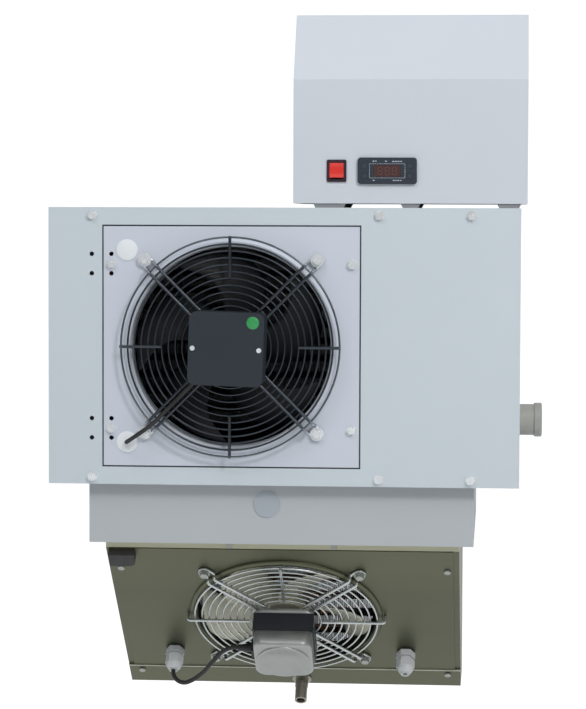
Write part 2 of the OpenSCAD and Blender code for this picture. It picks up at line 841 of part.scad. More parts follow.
module discharge_pipe() {
    z = cond_top_tube_z();
    color(copper) bent_tube([
        [discharge_x, comp_y, comp_top + stub_port_l], [discharge_x, comp_y, z],
        [discharge_x, cond_row_y, z], [coil_x1, cond_row_y, z]], discharge_d, pipe_bend);
}
module liquid_pipe() {
    color(copper) {
        bent_tube([[coil_x1, cond_row2_y, cond_tube_z0], [drier_x, cond_row2_y, cond_tube_z0],
            [drier_x, evap_mid_y, cond_tube_z0], [drier_x, evap_mid_y, drier_z]], liquid_d, pipe_bend);
        bent_tube([[drier_x, evap_mid_y, drier_z + drier_l], [drier_x, evap_mid_y, liquid_top_z],
            [evap_pipe_x, evap_mid_y, liquid_top_z], [evap_pipe_x, evap_mid_y, evap_tube_z0],
            [evap_end_x, evap_mid_y, evap_tube_z0]], liquid_d, pipe_bend);
    }
}
module suction_pipe() {
    z = evap_top_tube_z();
    color(copper) bent_tube([
        [evap_end_x, evap_row_y, z], [suction_x, evap_row_y, z], [suction_x, suction_y, z],
        [suction_x, suction_y, suction_z], [suction_x, comp_y + comp_d / 2 + stub_port_l, suction_z]],
        suction_d, pipe_bend);
}

// Condenser fan
module condenser_guard() {
    color(zinc) on_panel() {
        wire_guard(cond_guard_r, cond_ring_pitch, cond_rings, cond_ring_z, cond_arm_z, cond_arm_in,
            cond_knee_r, cond_foot_r);
        for (a = [0 : 90 : 270]) rotate([0, 0, a]) translate([cond_spoke_in, 0, cond_arm_z]) rotate([0, 90, 0])
            cylinder(d = arm_wire, h = cond_spoke_out - cond_spoke_in);
    }
}
module guard_bolts() {
    color(zinc) on_panel() four(cond_foot_r * cos(45), cond_foot_r * sin(45)) {
        translate([0, 0, arm_wire]) bolt(foot_washer_d, foot_washer_t, m6_l);
    }
}
module cover_frame() {
    on_panel() rotate([0, 0, cover_tilt]) children();
}
module condenser_motor() {
    color([0.25, 0.27, 0.30]) cover_frame() difference() {
        translate([0, 0, cond_motor_z]) union() {
            linear_extrude(motor_seat_t) rounded_rect(cover_w, cover_h, cover_r);
            cylinder(d = cond_can_d, h = cond_can_l);
            for (s = [-1, 1]) translate([s * boss_x, 0, 0]) cylinder(d = boss_d, h = cover_out - cover_wall - cond_motor_z);
        }
        translate([0, 0, cond_motor_z - over]) cylinder(d = shaft_d + 2 * shaft_fit, h = cond_can_l - over);
        for (s = [-1, 1]) translate([s * boss_x, 0, cover_out - cover_screw_l]) cylinder(d = cover_screw_d + 2 * shank_fit, h = cover_screw_l);
    }
}
module motor_cover() {
    color([0.18, 0.21, 0.24]) cover_frame() difference() {
        translate([0, 0, cond_motor_z + motor_seat_t]) linear_extrude(cover_out - cond_motor_z - motor_seat_t)
            rounded_rect(cover_w, cover_h, cover_r);
        translate([0, 0, cond_motor_z]) linear_extrude(cover_out - cond_motor_z - cover_wall)
            rounded_rect(cover_w - 2 * cover_wall, cover_h - 2 * cover_wall, cover_r - cover_wall);
        for (s = [-1, 1]) translate([s * boss_x, 0, cover_out]) hole(cover_screw_d + 2 * shank_fit, cover_wall + over);
    }
    color([0.35, 0.60, 0.40]) cover_frame() translate([spot_x, spot_z, cover_out]) cylinder(d = spot_d, h = spot_t);
}
module cover_screws() {
    color(zinc) cover_frame() for (s = [-1, 1]) translate([s * boss_x, 0, cover_out])
        pan_screw(cover_screw_d, cover_screw_head_d, cover_screw_head_h, cover_screw_l - sheet);
}
module condenser_impeller() {
    color(black) on_panel()
        fan_wheel(cond_fan_d, cond_hub_d, cond_hub_back, cond_hub_front, [50, 96], [36, 22], 34, 0.05, 2.4);
}
module condenser_shaft() {
    color(zinc) on_panel() translate([0, 0, -cond_hub_back + hub_wall])
        cylinder(d = shaft_d, h = cond_motor_z + cond_can_l - 2 * over - 2 * hub_wall + cond_hub_back);
}
module side_spigot() {
    color([0.63, 0.63, 0.61]) translate([case_w / 2, stub_y, stub_z]) rotate([0, 90, 0]) rotate_extrude()
        polygon([
            [stub_d / 2 - stub_wall, -sheet - stub_in], [stub_d / 2, -sheet - stub_in],
            [stub_d / 2, -sheet - stub_flange_t], [stub_flange_d / 2, -sheet - stub_flange_t],
            [stub_flange_d / 2, -sheet], [stub_d / 2, -sheet], [stub_d / 2, stub_l - stub_lip_l],
            [stub_lip_d / 2 - stub_chamfer, stub_l - stub_lip_l], [stub_lip_d / 2, stub_l - stub_lip_l + stub_chamfer],
            [stub_lip_d / 2, stub_l - stub_chamfer], [stub_lip_d / 2 - stub_chamfer, stub_l],
            [stub_d / 2 - stub_wall, stub_l]]);
}

// Control box
function box_side(k) = [
    [front_y + k, ctrl_z - (k > 0 ? over : 0)],
    [front_y + k, ctrl_z + ctrl_face_h - k * tan(ctrl_fold / 2)],
    [front_y + ctrl_slope_d + k * tan(45 - ctrl_fold / 2), ctrl_top - k],
    [front_y + ctrl_d + (k > 0 ? over : 0), ctrl_top - k],
    [front_y + ctrl_d + (k > 0 ? over : 0), ctrl_z - (k > 0 ? over : 0)]
];
module control_hood() {
    color(paint) difference() {
        translate([ctrl_x, 0, 0]) rotate([90, 0, 90]) linear_extrude(ctrl_w) polygon(box_side(0));
        translate([ctrl_x + sheet, 0, 0]) rotate([90, 0, 90]) linear_extrude(ctrl_w - 2 * sheet) polygon(box_side(sheet));
        on_switch() translate([0, 0, -over - sheet]) linear_extrude(2 * over + sheet)
            square([switch_body_w + 2 * slack, switch_body_h + 2 * slack], center = true);
        on_controller() translate([0, 0, -over - sheet]) linear_extrude(2 * over + sheet)
            square([case_body_w + 2 * slack, case_body_h + 2 * slack], center = true);
    }
}
module control_base() {
    color(zinc) {
        block([ctrl_x + sheet, front_y + sheet, ctrl_z],
            [ctrl_x + ctrl_w - sheet, front_y + ctrl_d, ctrl_z + sheet]);
        block([ctrl_x + sheet, front_y + ctrl_d - sheet, ctrl_z],
            [ctrl_x + ctrl_w - sheet, front_y + ctrl_d, ctrl_top - sheet]);
    }
}
foot_deep = 20;
foot_front = 2;
foot_taper = 6;
foot_spans = [[26, 43], [140, 26], [266, 31]];
module control_feet() {
    color([0.45, 0.47, 0.48]) for (f = foot_spans, y = [front_y + foot_front, front_y + ctrl_d - foot_deep - sheet])
        translate([ctrl_x + f[0], y + foot_deep, case_h]) rotate([90, 0, 0]) linear_extrude(foot_deep)
            polygon([[0, ctrl_lift], [f[1], ctrl_lift], [f[1] - foot_taper / 2, 0], [foot_taper / 2, 0]]);
}
module switch_frame() {
    color([0.16, 0.10, 0.12]) on_switch() difference() {
        union() {
            linear_extrude(switch_rim) rounded_rect(switch_w, switch_h, switch_rim);
            translate([0, 0, -switch_body_l]) linear_extrude(switch_body_l)
                square([switch_body_w, switch_body_h], center = true);
        }
        translate([0, 0, -switch_body_l + switch_back_t]) linear_extrude(switch_body_l + switch_rim)
            square([switch_open_w, switch_open_h], center = true);
        translate([0, 0, rocker_pivot]) rotate([0, 90, 0])
            cylinder(d = rocker_pin_d + 2 * rocker_pin_fit, h = switch_body_w + over, center = true);
    }
}
module switch_rocker() {
    color([0.80, 0.20, 0.16]) on_switch() translate([0, 0, rocker_pivot]) rotate([-rocker_tilt, 0, 0]) {
        rotate([90, 0, 90]) translate([0, -rocker_pivot, -rocker_w / 2]) linear_extrude(rocker_w)
            polygon([
                [-rocker_half, rocker_end], [-rocker_half / 2, rocker_waist + sheet / 4], [0, rocker_waist],
                [rocker_half / 2, rocker_waist + sheet / 4], [rocker_half, rocker_end],
                [rocker_half, rocker_pivot], [rocker_half / 2, -rocker_back], [-rocker_half / 2, -rocker_back],
                [-rocker_half, rocker_pivot]]);
        rotate([0, 90, 0]) cylinder(d = rocker_pin_d, h = rocker_w + 2 * rocker_pin_l, center = true);
    }
}
module key_frame(sx, sz) {
    on_controller() translate([sx * key_x, sz * key_z, 0]) children();
}
module controller_bezel() {
    color([0.13, 0.15, 0.18]) on_controller() difference() {
        linear_extrude(bezel_out) rounded_rect(bezel_w, bezel_h, bezel_r);
        translate([0, 0, -over]) linear_extrude(bezel_out - bezel_plate + over)
            rounded_rect(bezel_w - 2 * bezel_wall, bezel_h - 2 * bezel_wall, bezel_r - bezel_wall);
        linear_extrude(bezel_out + over) translate([window_x, 0]) rounded_rect(window_w + slack, window_h + slack, window_r);
        for (sx = [-1, 1], sz = [-1, 1]) translate([sx * key_x, sz * key_z, 0]) linear_extrude(bezel_out + over)
            rounded_rect(key_w + 2 * key_gap, key_h + 2 * key_gap, key_r);
    }
}
module controller_case() {
    color([0.10, 0.11, 0.12]) on_controller() {
        linear_extrude(case_flange_t)
            square([bezel_w - 2 * bezel_wall - 2 * bezel_r, bezel_h - 2 * bezel_wall - slack], center = true);
        translate([0, 0, -case_body_l]) linear_extrude(case_body_l) square([case_body_w, case_body_h], center = true);
    }
}
module display_window() {
    color([0.20, 0.10, 0.10]) on_controller() translate([window_x, 0, bezel_out - slack]) {
        translate([0, 0, -window_t]) linear_extrude(window_t) rounded_rect(window_w, window_h, window_r);
        translate([0, 0, -bezel_plate + slack - window_flange_t]) linear_extrude(window_flange_t)
            square([window_w + 2 * window_flange, window_h + 2 * window_flange], center = true);
    }
}
module key_cap(sx, sz) {
    color([0.20, 0.22, 0.25]) key_frame(sx, sz) {
        translate([0, 0, bezel_out - bezel_plate - key_seat - key_flange_t]) linear_extrude(key_flange_t)
            square([key_w + 2 * key_flange, key_h + 2 * key_flange], center = true);
        translate([0, 0, bezel_out - bezel_plate - key_seat - key_flange_t])
            linear_extrude(bezel_plate + key_seat + key_flange_t + key_proud) rounded_rect(key_w, key_h, key_r);
    }
}
module key_up() { key_cap(1, 1); }
module key_down() { key_cap(1, -1); }
module key_set() { key_cap(-1, -1); }
module key_light() { key_cap(-1, 1); }

// Plug through the ceiling
// The plug's outline, drawn in by inset, from its underside up to top
module plug_block(inset, top) {
    y0 = front_y + plug_back;
    block([plug_x - plug_w / 2 + inset, y0 + inset, -plug_h],
        [plug_x + plug_w / 2 - inset, y0 + plug_d - inset, top]);
}
module plug_cap_place() {
    translate([plug_x + plug_cap_x, front_y + plug_back, -plug_cap_drop]) rotate([90, 0, 0]) children();
}
// Four walls, and a top that lies in the base pan's cut-out level with its sheet
module ceiling_plug() {
    color(plug_grey) difference() {
        plug_block(0, sheet);
        translate([0, 0, -over]) plug_block(plug_skin, over);
        translate([suction_x, suction_y, 0]) hole(suction_d + 2 * pipe_hole_gap, 2 * sheet);
        translate([evap_pipe_x, evap_mid_y, 0]) hole(liquid_d + 2 * pipe_hole_gap, 2 * sheet);
        plug_cap_place() hole(plug_cap_stem_d + 2 * shank_fit, plug_skin + over);
    }
}
module plug_core() {
    color(foam) difference() {
        plug_block(plug_skin, 0);
        translate([suction_x, suction_y, 0]) hole(suction_d + 2 * shank_fit, 2 * plug_h);
        translate([evap_pipe_x, evap_mid_y, 0]) hole(liquid_d + 2 * shank_fit, 2 * plug_h);
        plug_cap_place() hole(plug_cap_stem_d + 2 * shank_fit, plug_cap_stem_l);
    }
}
module plug_cap() {
    color(plug_grey) plug_cap_place() {
        cylinder(d = plug_cap_d, h = plug_cap_t);
        translate([0, 0, -plug_cap_stem_l]) cylinder(d = plug_cap_stem_d, h = plug_cap_stem_l);
    }
}

// Evaporator
function housing_side(k) = [
    [evap_front_y + k, -plug_h - k],
    slope_pt(k * tan(slope / 2), -k),
    slope_pt(slope_l + (k > 0 ? slope_l : 0), -k),
    [evap_rear_y - k, slope_pt(slope_l + (k > 0 ? slope_l : 0), -k).y],
    [evap_rear_y - k, -plug_h - k]
];
module evaporator_housing() {
    color(stainless) difference() {
        translate([plug_x - evap_w / 2, 0, 0]) rotate([90, 0, 90]) linear_extrude(evap_w) polygon(housing_side(0));
        translate([plug_x - evap_w / 2 + steel, 0, 0]) rotate([90, 0, 90]) linear_extrude(evap_w - 2 * steel)
            polygon(housing_side(steel));
        on_slope() translate([-evap_w / 2 + side_flange, -slope_l - slope_l, -2 * over])
            cube([evap_w - 2 * side_flange, 2 * slope_l - top_flange, 4 * over]);
        block([plug_x - evap_w / 2 + rear_flange, evap_rear_y - over, 2 * floor_z],
            [plug_x + evap_w / 2 - rear_flange, evap_rear_y + over, -plug_h - rear_flange]);
        translate([suction_x, suction_y, -plug_h]) hole(suction_d + 2 * pipe_hole_gap, 2 * steel);
        translate([evap_pipe_x, evap_mid_y, -plug_h]) hole(liquid_d + 2 * pipe_hole_gap, 2 * steel);
        plate_screw_places() hole(plate_screw_d + 2 * shank_fit, side_flange);
        top_screw_places() hole(plate_screw_d + 2 * shank_fit, side_flange);
    }
}
screw_side_in = 8;
screw_top_t = 45;
screw_low_t = 13;
top_screw_x = 70;
strip_screw_in = 18;
module plate_screw_places() {
    on_slope() for (s = [-1, 1]) {
        translate([s * (evap_w / 2 - plate_side - screw_side_in), -screw_top_t, plate_t]) children();
        translate([s * (evap_w / 2 - strip_screw_in), -plate_l - screw_low_t, steel]) children();
    }
}
module top_screw_places() {
    for (s = [-1, 1]) translate([plug_x + s * top_screw_x, evap_front_y, -plug_h - evap_edge_h / 2])
        rotate([90, 0, 0]) children();
}
module fan_plate() {
    color(stainless) on_slope() difference() {
        union() {
            translate([-evap_w / 2 + plate_side, -plate_l, 0]) cube([evap_w - 2 * plate_side, plate_l, plate_t]);
            translate([evap_fan_x, -evap_fan_t, plate_t]) throat_ring(evap_throat_d);
        }
        translate([evap_fan_x, -evap_fan_t, 0]) {
            hole(evap_throat_d, collar_l + over);
            four(evap_foot_r * cos(45), evap_foot_r * sin(45)) hole(m6 + 2 * shank_fit, side_flange);
        }
        for (s = [-1, 1]) {
            translate([evap_fan_x + s * gland_x, -gland_t, 0]) hole(gland_neck_d + 2 * shank_fit, side_flange);
            translate([s * (evap_w / 2 - plate_side - screw_side_in), -screw_top_t, 0])
                hole(plate_screw_d + 2 * shank_fit, side_flange);
        }
    }
}
module drain_pan() {
    pan_in = slope_pt(slope_l, 0);
    pan_out = slope_pt(slope_l, steel);
    color(stainless) difference() {
        translate([plug_x - evap_w / 2, 0, 0]) rotate([90, 0, 90]) linear_extrude(evap_w) polygon([
            slope_pt(plate_l + slack, 0), pan_in, [evap_rear_y - 2 * steel, pan_in.y],
            [evap_rear_y - 2 * steel, pan_in.y + pan_turn], [evap_rear_y - steel, pan_in.y + pan_turn],
            [evap_rear_y - steel, pan_out.y], pan_out, slope_pt(plate_l + slack, steel)]);
        for (s = [-1, 1])
            block([plug_x + s * (evap_w / 2 - steel / 2) - (steel + over) / 2 + s * over / 2, evap_rear_y - 3 * steel, pan_in.y],
                [plug_x + s * (evap_w / 2 - steel / 2) + (steel + over) / 2 + s * over / 2, evap_rear_y + over, 0]);
        on_slope() {
            translate([drain_x, -drain_t, 0]) hole(drain_d + 2 * shank_fit, side_flange);
            for (s = [-1, 1]) translate([s * (evap_w / 2 - strip_screw_in), -plate_l - screw_low_t, 0])
                hole(plate_screw_d + 2 * shank_fit, side_flange);
        }
    }
}
module drain_spigot() {
    bore = drain_d / 2 - drain_wall;
    color([0.55, 0.56, 0.52]) on_slope() translate([drain_x, -drain_t, 0]) rotate_extrude() difference() {
        union() {
            translate([0, -2 * drain_flange_t]) square([drain_d / 2, drain_l + 2 * drain_flange_t]);
            translate([0, steel]) square([drain_flange_d / 2, drain_flange_t]);
            for (i = [1 : drain_rib_n]) translate([0, steel + drain_flange_t + drain_rib_l * (2 * i - 1)])
                square([drain_d / 2 + drain_rib, drain_rib_l]);
        }
        translate([0, -drain_l]) square([bore, 3 * drain_l]);
    }
}
module gland_places() {
    on_evap_fan() for (s = [-1, 1]) translate([s * gland_x, evap_fan_t - gland_t, plate_t]) children();
}
module cable_glands() {
    color([0.72, 0.73, 0.74]) gland_places() difference() {
        union() {
            translate([0, 0, -gland_body_l]) cylinder(d = gland_neck_d, h = 2 * gland_body_l);
            translate([0, 0, gasket_t]) cylinder(d = gland_body_af / cos(30), h = gland_body_l, $fn = 6);
            translate([0, 0, gasket_t + gland_body_l]) cylinder(d = gland_neck_d, h = gland_neck_l);
            translate([0, 0, gasket_t + gland_body_l + gland_neck_l])
                cylinder(d = gland_nut_af / cos(30), h = gland_nut_l, $fn = 6);
            translate([0, 0, gasket_t + gland_body_l + gland_neck_l + gland_nut_l]) rotate_extrude() {
                square([gland_tip_d / 2, gland_dome_l]);
                intersection() {
                    square([gland_nut_af / 2, gland_dome_l]);
                    scale(1) translate([gland_nut_af / 2 - gland_dome_l, 0]) circle(r = gland_dome_l);
                }
            }
        }
        hole(gland_bore, gland_body_l + gasket_t + gland_body_l + gland_neck_l + gland_nut_l + gland_dome_l);
        translate([0, 0, -gland_body_l - over]) cylinder(d = gland_tip_d, h = gland_body_l + over);
    }
}
module gland_gaskets() {
    color([0.08, 0.08, 0.08]) gland_places() difference() {
        cylinder(d = gasket_d, h = gasket_t);
        hole(gland_neck_d, gasket_t + over);
    }
}
module evaporator_guard() {
    color(zinc) on_evap_fan() translate([0, 0, plate_t]) {
        wire_guard(evap_guard_r, evap_ring_pitch, evap_rings, evap_ring_z, evap_arm_z, evap_arm_in,
            evap_knee_r, evap_foot_r);
        for (a = [0, 180])
            rotate([0, 0, a])
                bent_tube([[evap_spoke_in, 0, evap_arm_z], [evap_spoke_out, 0, evap_arm_z], [evap_spoke_out, 0, slack]],
                    arm_wire, arm_bend);
        rotate([0, 0, 90]) translate([evap_spoke_in, 0, evap_arm_z]) rotate([0, 90, 0])
            cylinder(d = arm_wire, h = evap_guard_r + arm_wire / 2 - evap_spoke_in);
    }
}
module plate_screws() {
    color(zinc) {
        plate_screw_places() pan_screw(plate_screw_d, plate_screw_head_d, plate_screw_head_h, plate_screw_l);
        top_screw_places() pan_screw(plate_screw_d, plate_screw_head_d, plate_screw_head_h, plate_screw_l);
        on_evap_fan() four(evap_foot_r * cos(45), evap_foot_r * sin(45))
            translate([0, 0, plate_t + arm_wire]) bolt(foot_washer_d - ring_wire, foot_washer_t, m6_l);
    }
}

// Evaporator fan and motor
module on_motor() {
    on_evap_fan() translate([0, 0, plate_t + evap_motor_z]) children();
}
module motor_end_caps() {
    color([0.62, 0.63, 0.62]) on_motor() {
        difference() {
            linear_extrude(front_cap_l) rounded_rect(stack_w - 2 * cap_inset, stack_w - 2 * cap_inset, stack_r);
            hole(shaft_d + 2 * shaft_fit, front_cap_l + over);
        }
        translate([0, 0, front_cap_l + stack_l]) {
            linear_extrude(rear_cap_l - emboss_h) rounded_rect(stack_w - 2 * cap_inset, stack_w - 2 * cap_inset, stack_r);
            translate([0, 0, rear_cap_l - emboss_h]) difference() {
                cylinder(d = emboss_d, h = emboss_h);
                translate([0, 0, emboss_h / 2]) cylinder(d = emboss_d - 2 * emboss_ring, h = emboss_h);
            }
        }
    }
}
module motor_stack() {
    color([0.07, 0.07, 0.08]) on_motor() difference() {
        translate([0, 0, front_cap_l]) linear_extrude(stack_l) rounded_rect(stack_w, stack_w, stack_r / 2);
        hole(shaft_d + 2 * shaft_fit, front_cap_l + stack_l - hub_wall);
    }
}
module evaporator_blades() {
    color([0.80, 0.79, 0.72]) on_evap_fan()
        fan_wheel(evap_fan_d, evap_hub_d, evap_hub_back, evap_hub_front, [46, 92], [34, 20], -30, 0.05, 1.8);
}
module evaporator_shaft() {
    color(zinc) on_evap_fan() translate([0, 0, -evap_hub_back + hub_wall])
        cylinder(d = shaft_d, h = evap_hub_back + plate_t + evap_motor_z + front_cap_l + stack_l - 3 * hub_wall);
}
module strain_relief() {
    color([0.06, 0.06, 0.06]) on_motor() translate([-stack_w / 2, -relief_drop, front_cap_l + stack_l / 2])
        rotate([0, -90, 0]) difference() {
            union() {
                linear_extrude(relief_base) rounded_rect(stack_l - relief_base, relief_d + relief_base, hub_wall / 2);
                cylinder(d1 = relief_d, d2 = relief_tip_d, h = relief_l);
            }
            translate([0, 0, relief_base]) cylinder(d = cable_d, h = relief_l);
        }
}
module motor_cable() {
    color([0.05, 0.05, 0.05]) cable(cable_route, cable_d);
}
module seal_block() {
    color([0.06, 0.06, 0.07]) on_slope() translate([-evap_w / 2 + seal_in, -seal_h, plate_t]) linear_extrude(seal_t) {
        square([seal_w - seal_r, seal_h]);
        translate([0, seal_r]) square([seal_w, seal_h - seal_r]);
        translate([seal_w - seal_r, seal_r]) circle(r = seal_r);
    }
}

// The parts, each by its own name
base_pan();
front_panel();
fan_panel();
fan_panel_bolts();
hole_caps();
panel_bolts();
top_cover();
left_side_panel();
right_side_panel();
rear_panel();
divider_panel();
condenser_coil();
condenser_bends();
compressor_shell();
compressor_grommets();
terminal_cover();
filter_drier();
discharge_pipe();
liquid_pipe();
suction_pipe();
condenser_guard();
guard_bolts();
condenser_motor();
motor_cover();
cover_screws();
condenser_impeller();
condenser_shaft();
side_spigot();
control_hood();
control_base();
control_feet();
switch_frame();
switch_rocker();
controller_bezel();
controller_case();
display_window();
key_up();
key_down();
key_set();
key_light();
ceiling_plug();
plug_core();
plug_cap();
evaporator_housing();
fan_plate();
drain_pan();
evaporator_coil();
evaporator_bends();
drain_spigot();
cable_glands();
gland_gaskets();
evaporator_guard();
plate_screws();
motor_end_caps();
motor_stack();
evaporator_blades();
evaporator_shaft();
strain_relief();
motor_cable();
seal_block();
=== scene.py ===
import math
import random

import bpy
from mathutils import Matrix, Vector


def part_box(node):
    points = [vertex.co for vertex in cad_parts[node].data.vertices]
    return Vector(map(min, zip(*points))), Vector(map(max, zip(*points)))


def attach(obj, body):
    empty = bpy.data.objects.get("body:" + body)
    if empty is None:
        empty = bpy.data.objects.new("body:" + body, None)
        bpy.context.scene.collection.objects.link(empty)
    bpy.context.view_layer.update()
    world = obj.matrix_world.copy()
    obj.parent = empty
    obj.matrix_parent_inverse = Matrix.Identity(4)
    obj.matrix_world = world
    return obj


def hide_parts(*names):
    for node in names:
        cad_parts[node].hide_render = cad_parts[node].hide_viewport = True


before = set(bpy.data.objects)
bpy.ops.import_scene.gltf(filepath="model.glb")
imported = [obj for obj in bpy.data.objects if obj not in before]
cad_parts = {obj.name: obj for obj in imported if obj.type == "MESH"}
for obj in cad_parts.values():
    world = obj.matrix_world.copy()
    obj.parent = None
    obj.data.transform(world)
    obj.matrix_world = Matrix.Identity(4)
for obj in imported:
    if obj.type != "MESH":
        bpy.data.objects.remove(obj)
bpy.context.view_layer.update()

MM = 0.001
TAU = 2 * math.pi

# Planes and middles of the model, in metres, as its source has them
FRONT_Y = -0.230
PANEL_X, PANEL_Z = -0.068, 0.1825
PLUG_X = -0.004
SLOPE = math.radians(48)
EVAP_FRONT_Y, SLOPE_Z = -0.190, -0.089
EVAP_FAN = (-0.0025, -0.156)
PLATE_T = 0.0016
CONTROLLER = (0.1358, 0.413)
BEZEL_OUT = 0.004
COVER_OUT = 0.068
COVER_TILT = math.radians(-1.8)


def axes(origin, x, y, z):
    """A frame from its origin and its three axes, all in the shared frame."""
    m = Matrix.Identity(4)
    for i, v in enumerate((x, y, z, origin)):
        for j in range(3):
            m[j][i] = v[j]
    return m


SLOPE_UP = (0, -math.sin(SLOPE), math.cos(SLOPE))
SLOPE_OUT = (0, -math.cos(SLOPE), -math.sin(SLOPE))
FRONT = axes((0, FRONT_Y, 0), (1, 0, 0), (0, 0, 1), (0, -1, 0))
PANEL = FRONT @ Matrix.Translation((PANEL_X, PANEL_Z, 0))
DIAL = FRONT @ Matrix.Translation((*CONTROLLER, 0))
COVER = PANEL @ Matrix.Rotation(COVER_TILT, 4, "Z")
ON_SLOPE = axes((PLUG_X, EVAP_FRONT_Y, SLOPE_Z), (1, 0, 0), SLOPE_UP, SLOPE_OUT)
EVAP = ON_SLOPE @ Matrix.Translation((*EVAP_FAN, 0))

# Camera, at the photograph's place and angle
EYE = Vector((0.2774, -3.5348, 0.3497))
YAW, PITCH, ROLL = math.radians(-4.564), math.radians(-3.052), math.radians(0.195)
FOCAL_PX, FRAME_PX, SENSOR, FAR_CLIP = 2535.6, 709, 36.0, 60
ahead = Vector((math.sin(YAW) * math.cos(PITCH), math.cos(YAW) * math.cos(PITCH), math.sin(PITCH)))
side = Vector((math.cos(YAW), -math.sin(YAW), 0))
over = side.cross(ahead)
right = side * math.cos(ROLL) + over * math.sin(ROLL)
up = over * math.cos(ROLL) - side * math.sin(ROLL)
camera = bpy.data.objects.new("camera", bpy.data.cameras.new("camera"))
camera.data.sensor_width = SENSOR
camera.data.lens = FOCAL_PX * SENSOR / FRAME_PX
camera.data.clip_end = FAR_CLIP
camera.matrix_world = axes(EYE, right, up, -ahead)
bpy.context.collection.objects.link(camera)
bpy.context.scene.camera = camera


# Shapes, each as a pair of a vertex list and a face list
def mesh_piece(name, verts, faces, place=None, smooth=True):
    """An object of its own from one shape, set at a place."""
    data = bpy.data.meshes.new(name)
    at = place or Matrix.Identity(4)
    data.from_pydata([at @ Vector(v) for v in verts], [], faces)
    data.update()
    if smooth:
        data.shade_smooth()
    piece = bpy.data.objects.new(name, data)
    bpy.context.collection.objects.link(piece)
    return piece


def join(parts):
    """Several shapes as one."""
    verts, faces = [], []
    for v, f in parts:
        start = len(verts)
        verts += v
        faces += [tuple(i + start for i in face) for face in f]
    return verts, faces


def shift(part, at):
    """A shape moved by a matrix."""
    verts, faces = part
    return [at @ Vector(v) for v in verts], faces


def box(lo, hi):
    """A box between two corners."""
    verts = [(x, y, z) for x in (lo[0], hi[0]) for y in (lo[1], hi[1]) for z in (lo[2], hi[2])]
    return verts, [(0, 1, 3, 2), (4, 6, 7, 5), (0, 4, 5, 1), (2, 3, 7, 6), (0, 2, 6, 4),
                   (1, 5, 7, 3)]


def ring_faces(n, bands, wrap=False):
    """The quads between rings of n points, and back to the first ring with wrap."""
    faces = []
    for i in range(bands + 1 if wrap else bands):
        here, beyond = i * n, (i + 1) % (bands + 1) * n
        for k in range(n):
            j = (k + 1) % n
            faces.append((here + k, here + j, beyond + j, beyond + k))
    return faces


def loft(rings):
    """A closed solid through rings with the same number of points."""
    n = len(rings[0])
    faces = ring_faces(n, len(rings) - 1)
    faces.append(tuple(reversed(range(n))))
    faces.append(tuple(range((len(rings) - 1) * n, len(rings) * n)))
    return [p for ring in rings for p in ring], faces


def lathe(profile, sides=64, on_axis=1e-7):
    """A closed solid turned round z from (radius, z) pairs, each on the axis or a full ring."""
    verts, faces, rings = [], [], []
    for r, z in profile:
        if r < on_axis:
            rings.append([len(verts)])
            verts.append((0, 0, z))
        else:
            rings.append(list(range(len(verts), len(verts) + sides)))
            verts += [(r * math.cos(TAU * k / sides), r * math.sin(TAU * k / sides), z)
                      for k in range(sides)]
    for a, b in zip(rings, rings[1:]):
        for k in range(sides):
            j = (k + 1) % sides
            face = [a[k % len(a)], a[j % len(a)], b[j % len(b)], b[k % len(b)]]
            face = [v for i, v in enumerate(face) if v not in face[:i]]
            if len(face) > 2:
                faces.append(tuple(face))
    return verts, faces


def in_mm(profile, lift=0.0):
    """A lathe profile written in millimetres, in metres and lifted."""
    return [(r * MM, lift + z * MM) for r, z in profile]


def tube(points, radius, sides=16):
    """A round bar along one open line of points, whose rings don't turn about it."""
    rings, across = [], None
    last = len(points) - 1
    for i, p in enumerate(points):
        way = (points[min(i + 1, last)] - points[max(i - 1, 0)]).normalized()
        across = across or way.orthogonal()
        across = (across - way * across.dot(way)).normalized()
        beside = way.cross(across)
        turns = [TAU * k / sides for k in range(sides)]
        rings.append([p + radius * (across * math.cos(a) + beside * math.sin(a)) for a in turns])
    return loft(rings)


def smooth_line(points, steps):
    """A Catmull-Rom line through the points."""
    pts = [Vector(p) for p in points]
    out = []
    for i in range(len(pts) - 1):
        a, b, c, d = pts[max(i - 1, 0)], pts[i], pts[i + 1], pts[min(i + 2, len(pts) - 1)]
        for k in range(steps):
            t = k / steps
            out.append(0.5 * ((2 * b) + (c - a) * t + (2 * a - 5 * b + 4 * c - d) * t * t
                              + (3 * b - a - 3 * c + d) * t * t * t))
    return out + [pts[-1]]


def rounded_ring(w, h, r, z, per=8):
    """The outline of a rounded rectangle at height z."""
    out = []
    for i, (sx, sy) in enumerate(((1, 1), (-1, 1), (-1, -1), (1, -1))):
        for k in range(per + 1):
            a = math.pi / 2 * (i + k / per)
            out.append((sx * (w / 2 - r) + r * math.cos(a), sy * (h / 2 - r) + r * math.sin(a), z))
    return out


def square_ring(w, r, z, per=8, side_points=9):
    """A rounded square outline with points along its sides too."""
    corners = rounded_ring(w, w, r, z, per)
    out = []
    for i in range(4):
        group = corners[i * (per + 1):(i + 1) * (per + 1)]
        a, b = Vector(group[-1]), Vector(corners[(i + 1) * (per + 1) % len(corners)])
        out += group + [tuple(a.lerp(b, k / (side_points + 1))) for k in range(1, side_points + 1)]
    return out


# Shader nodes
def add_node(tree, kind, **values):
    """A shader node with some inputs set, each named with _ for its spaces."""
    made = tree.nodes.new("ShaderNode" + kind)
    for name, value in values.items():
        made.inputs[name.replace("_", " ")].default_value = value
    return made


def noise(tree, where, **values):
    made = add_node(tree, "TexNoise", **values)
    tree.links.new(where, made.inputs["Vector"])
    return made.outputs["Fac"]


def ramp(tree, value, low, high, **onto):
    """A value between low and high, mapped onto 0 to 1 or onto To_Min to To_Max."""
    made = add_node(tree, "MapRange", From_Min=low, From_Max=high, **onto)
    tree.links.new(value, made.inputs["Value"])
    return made.outputs["Result"]


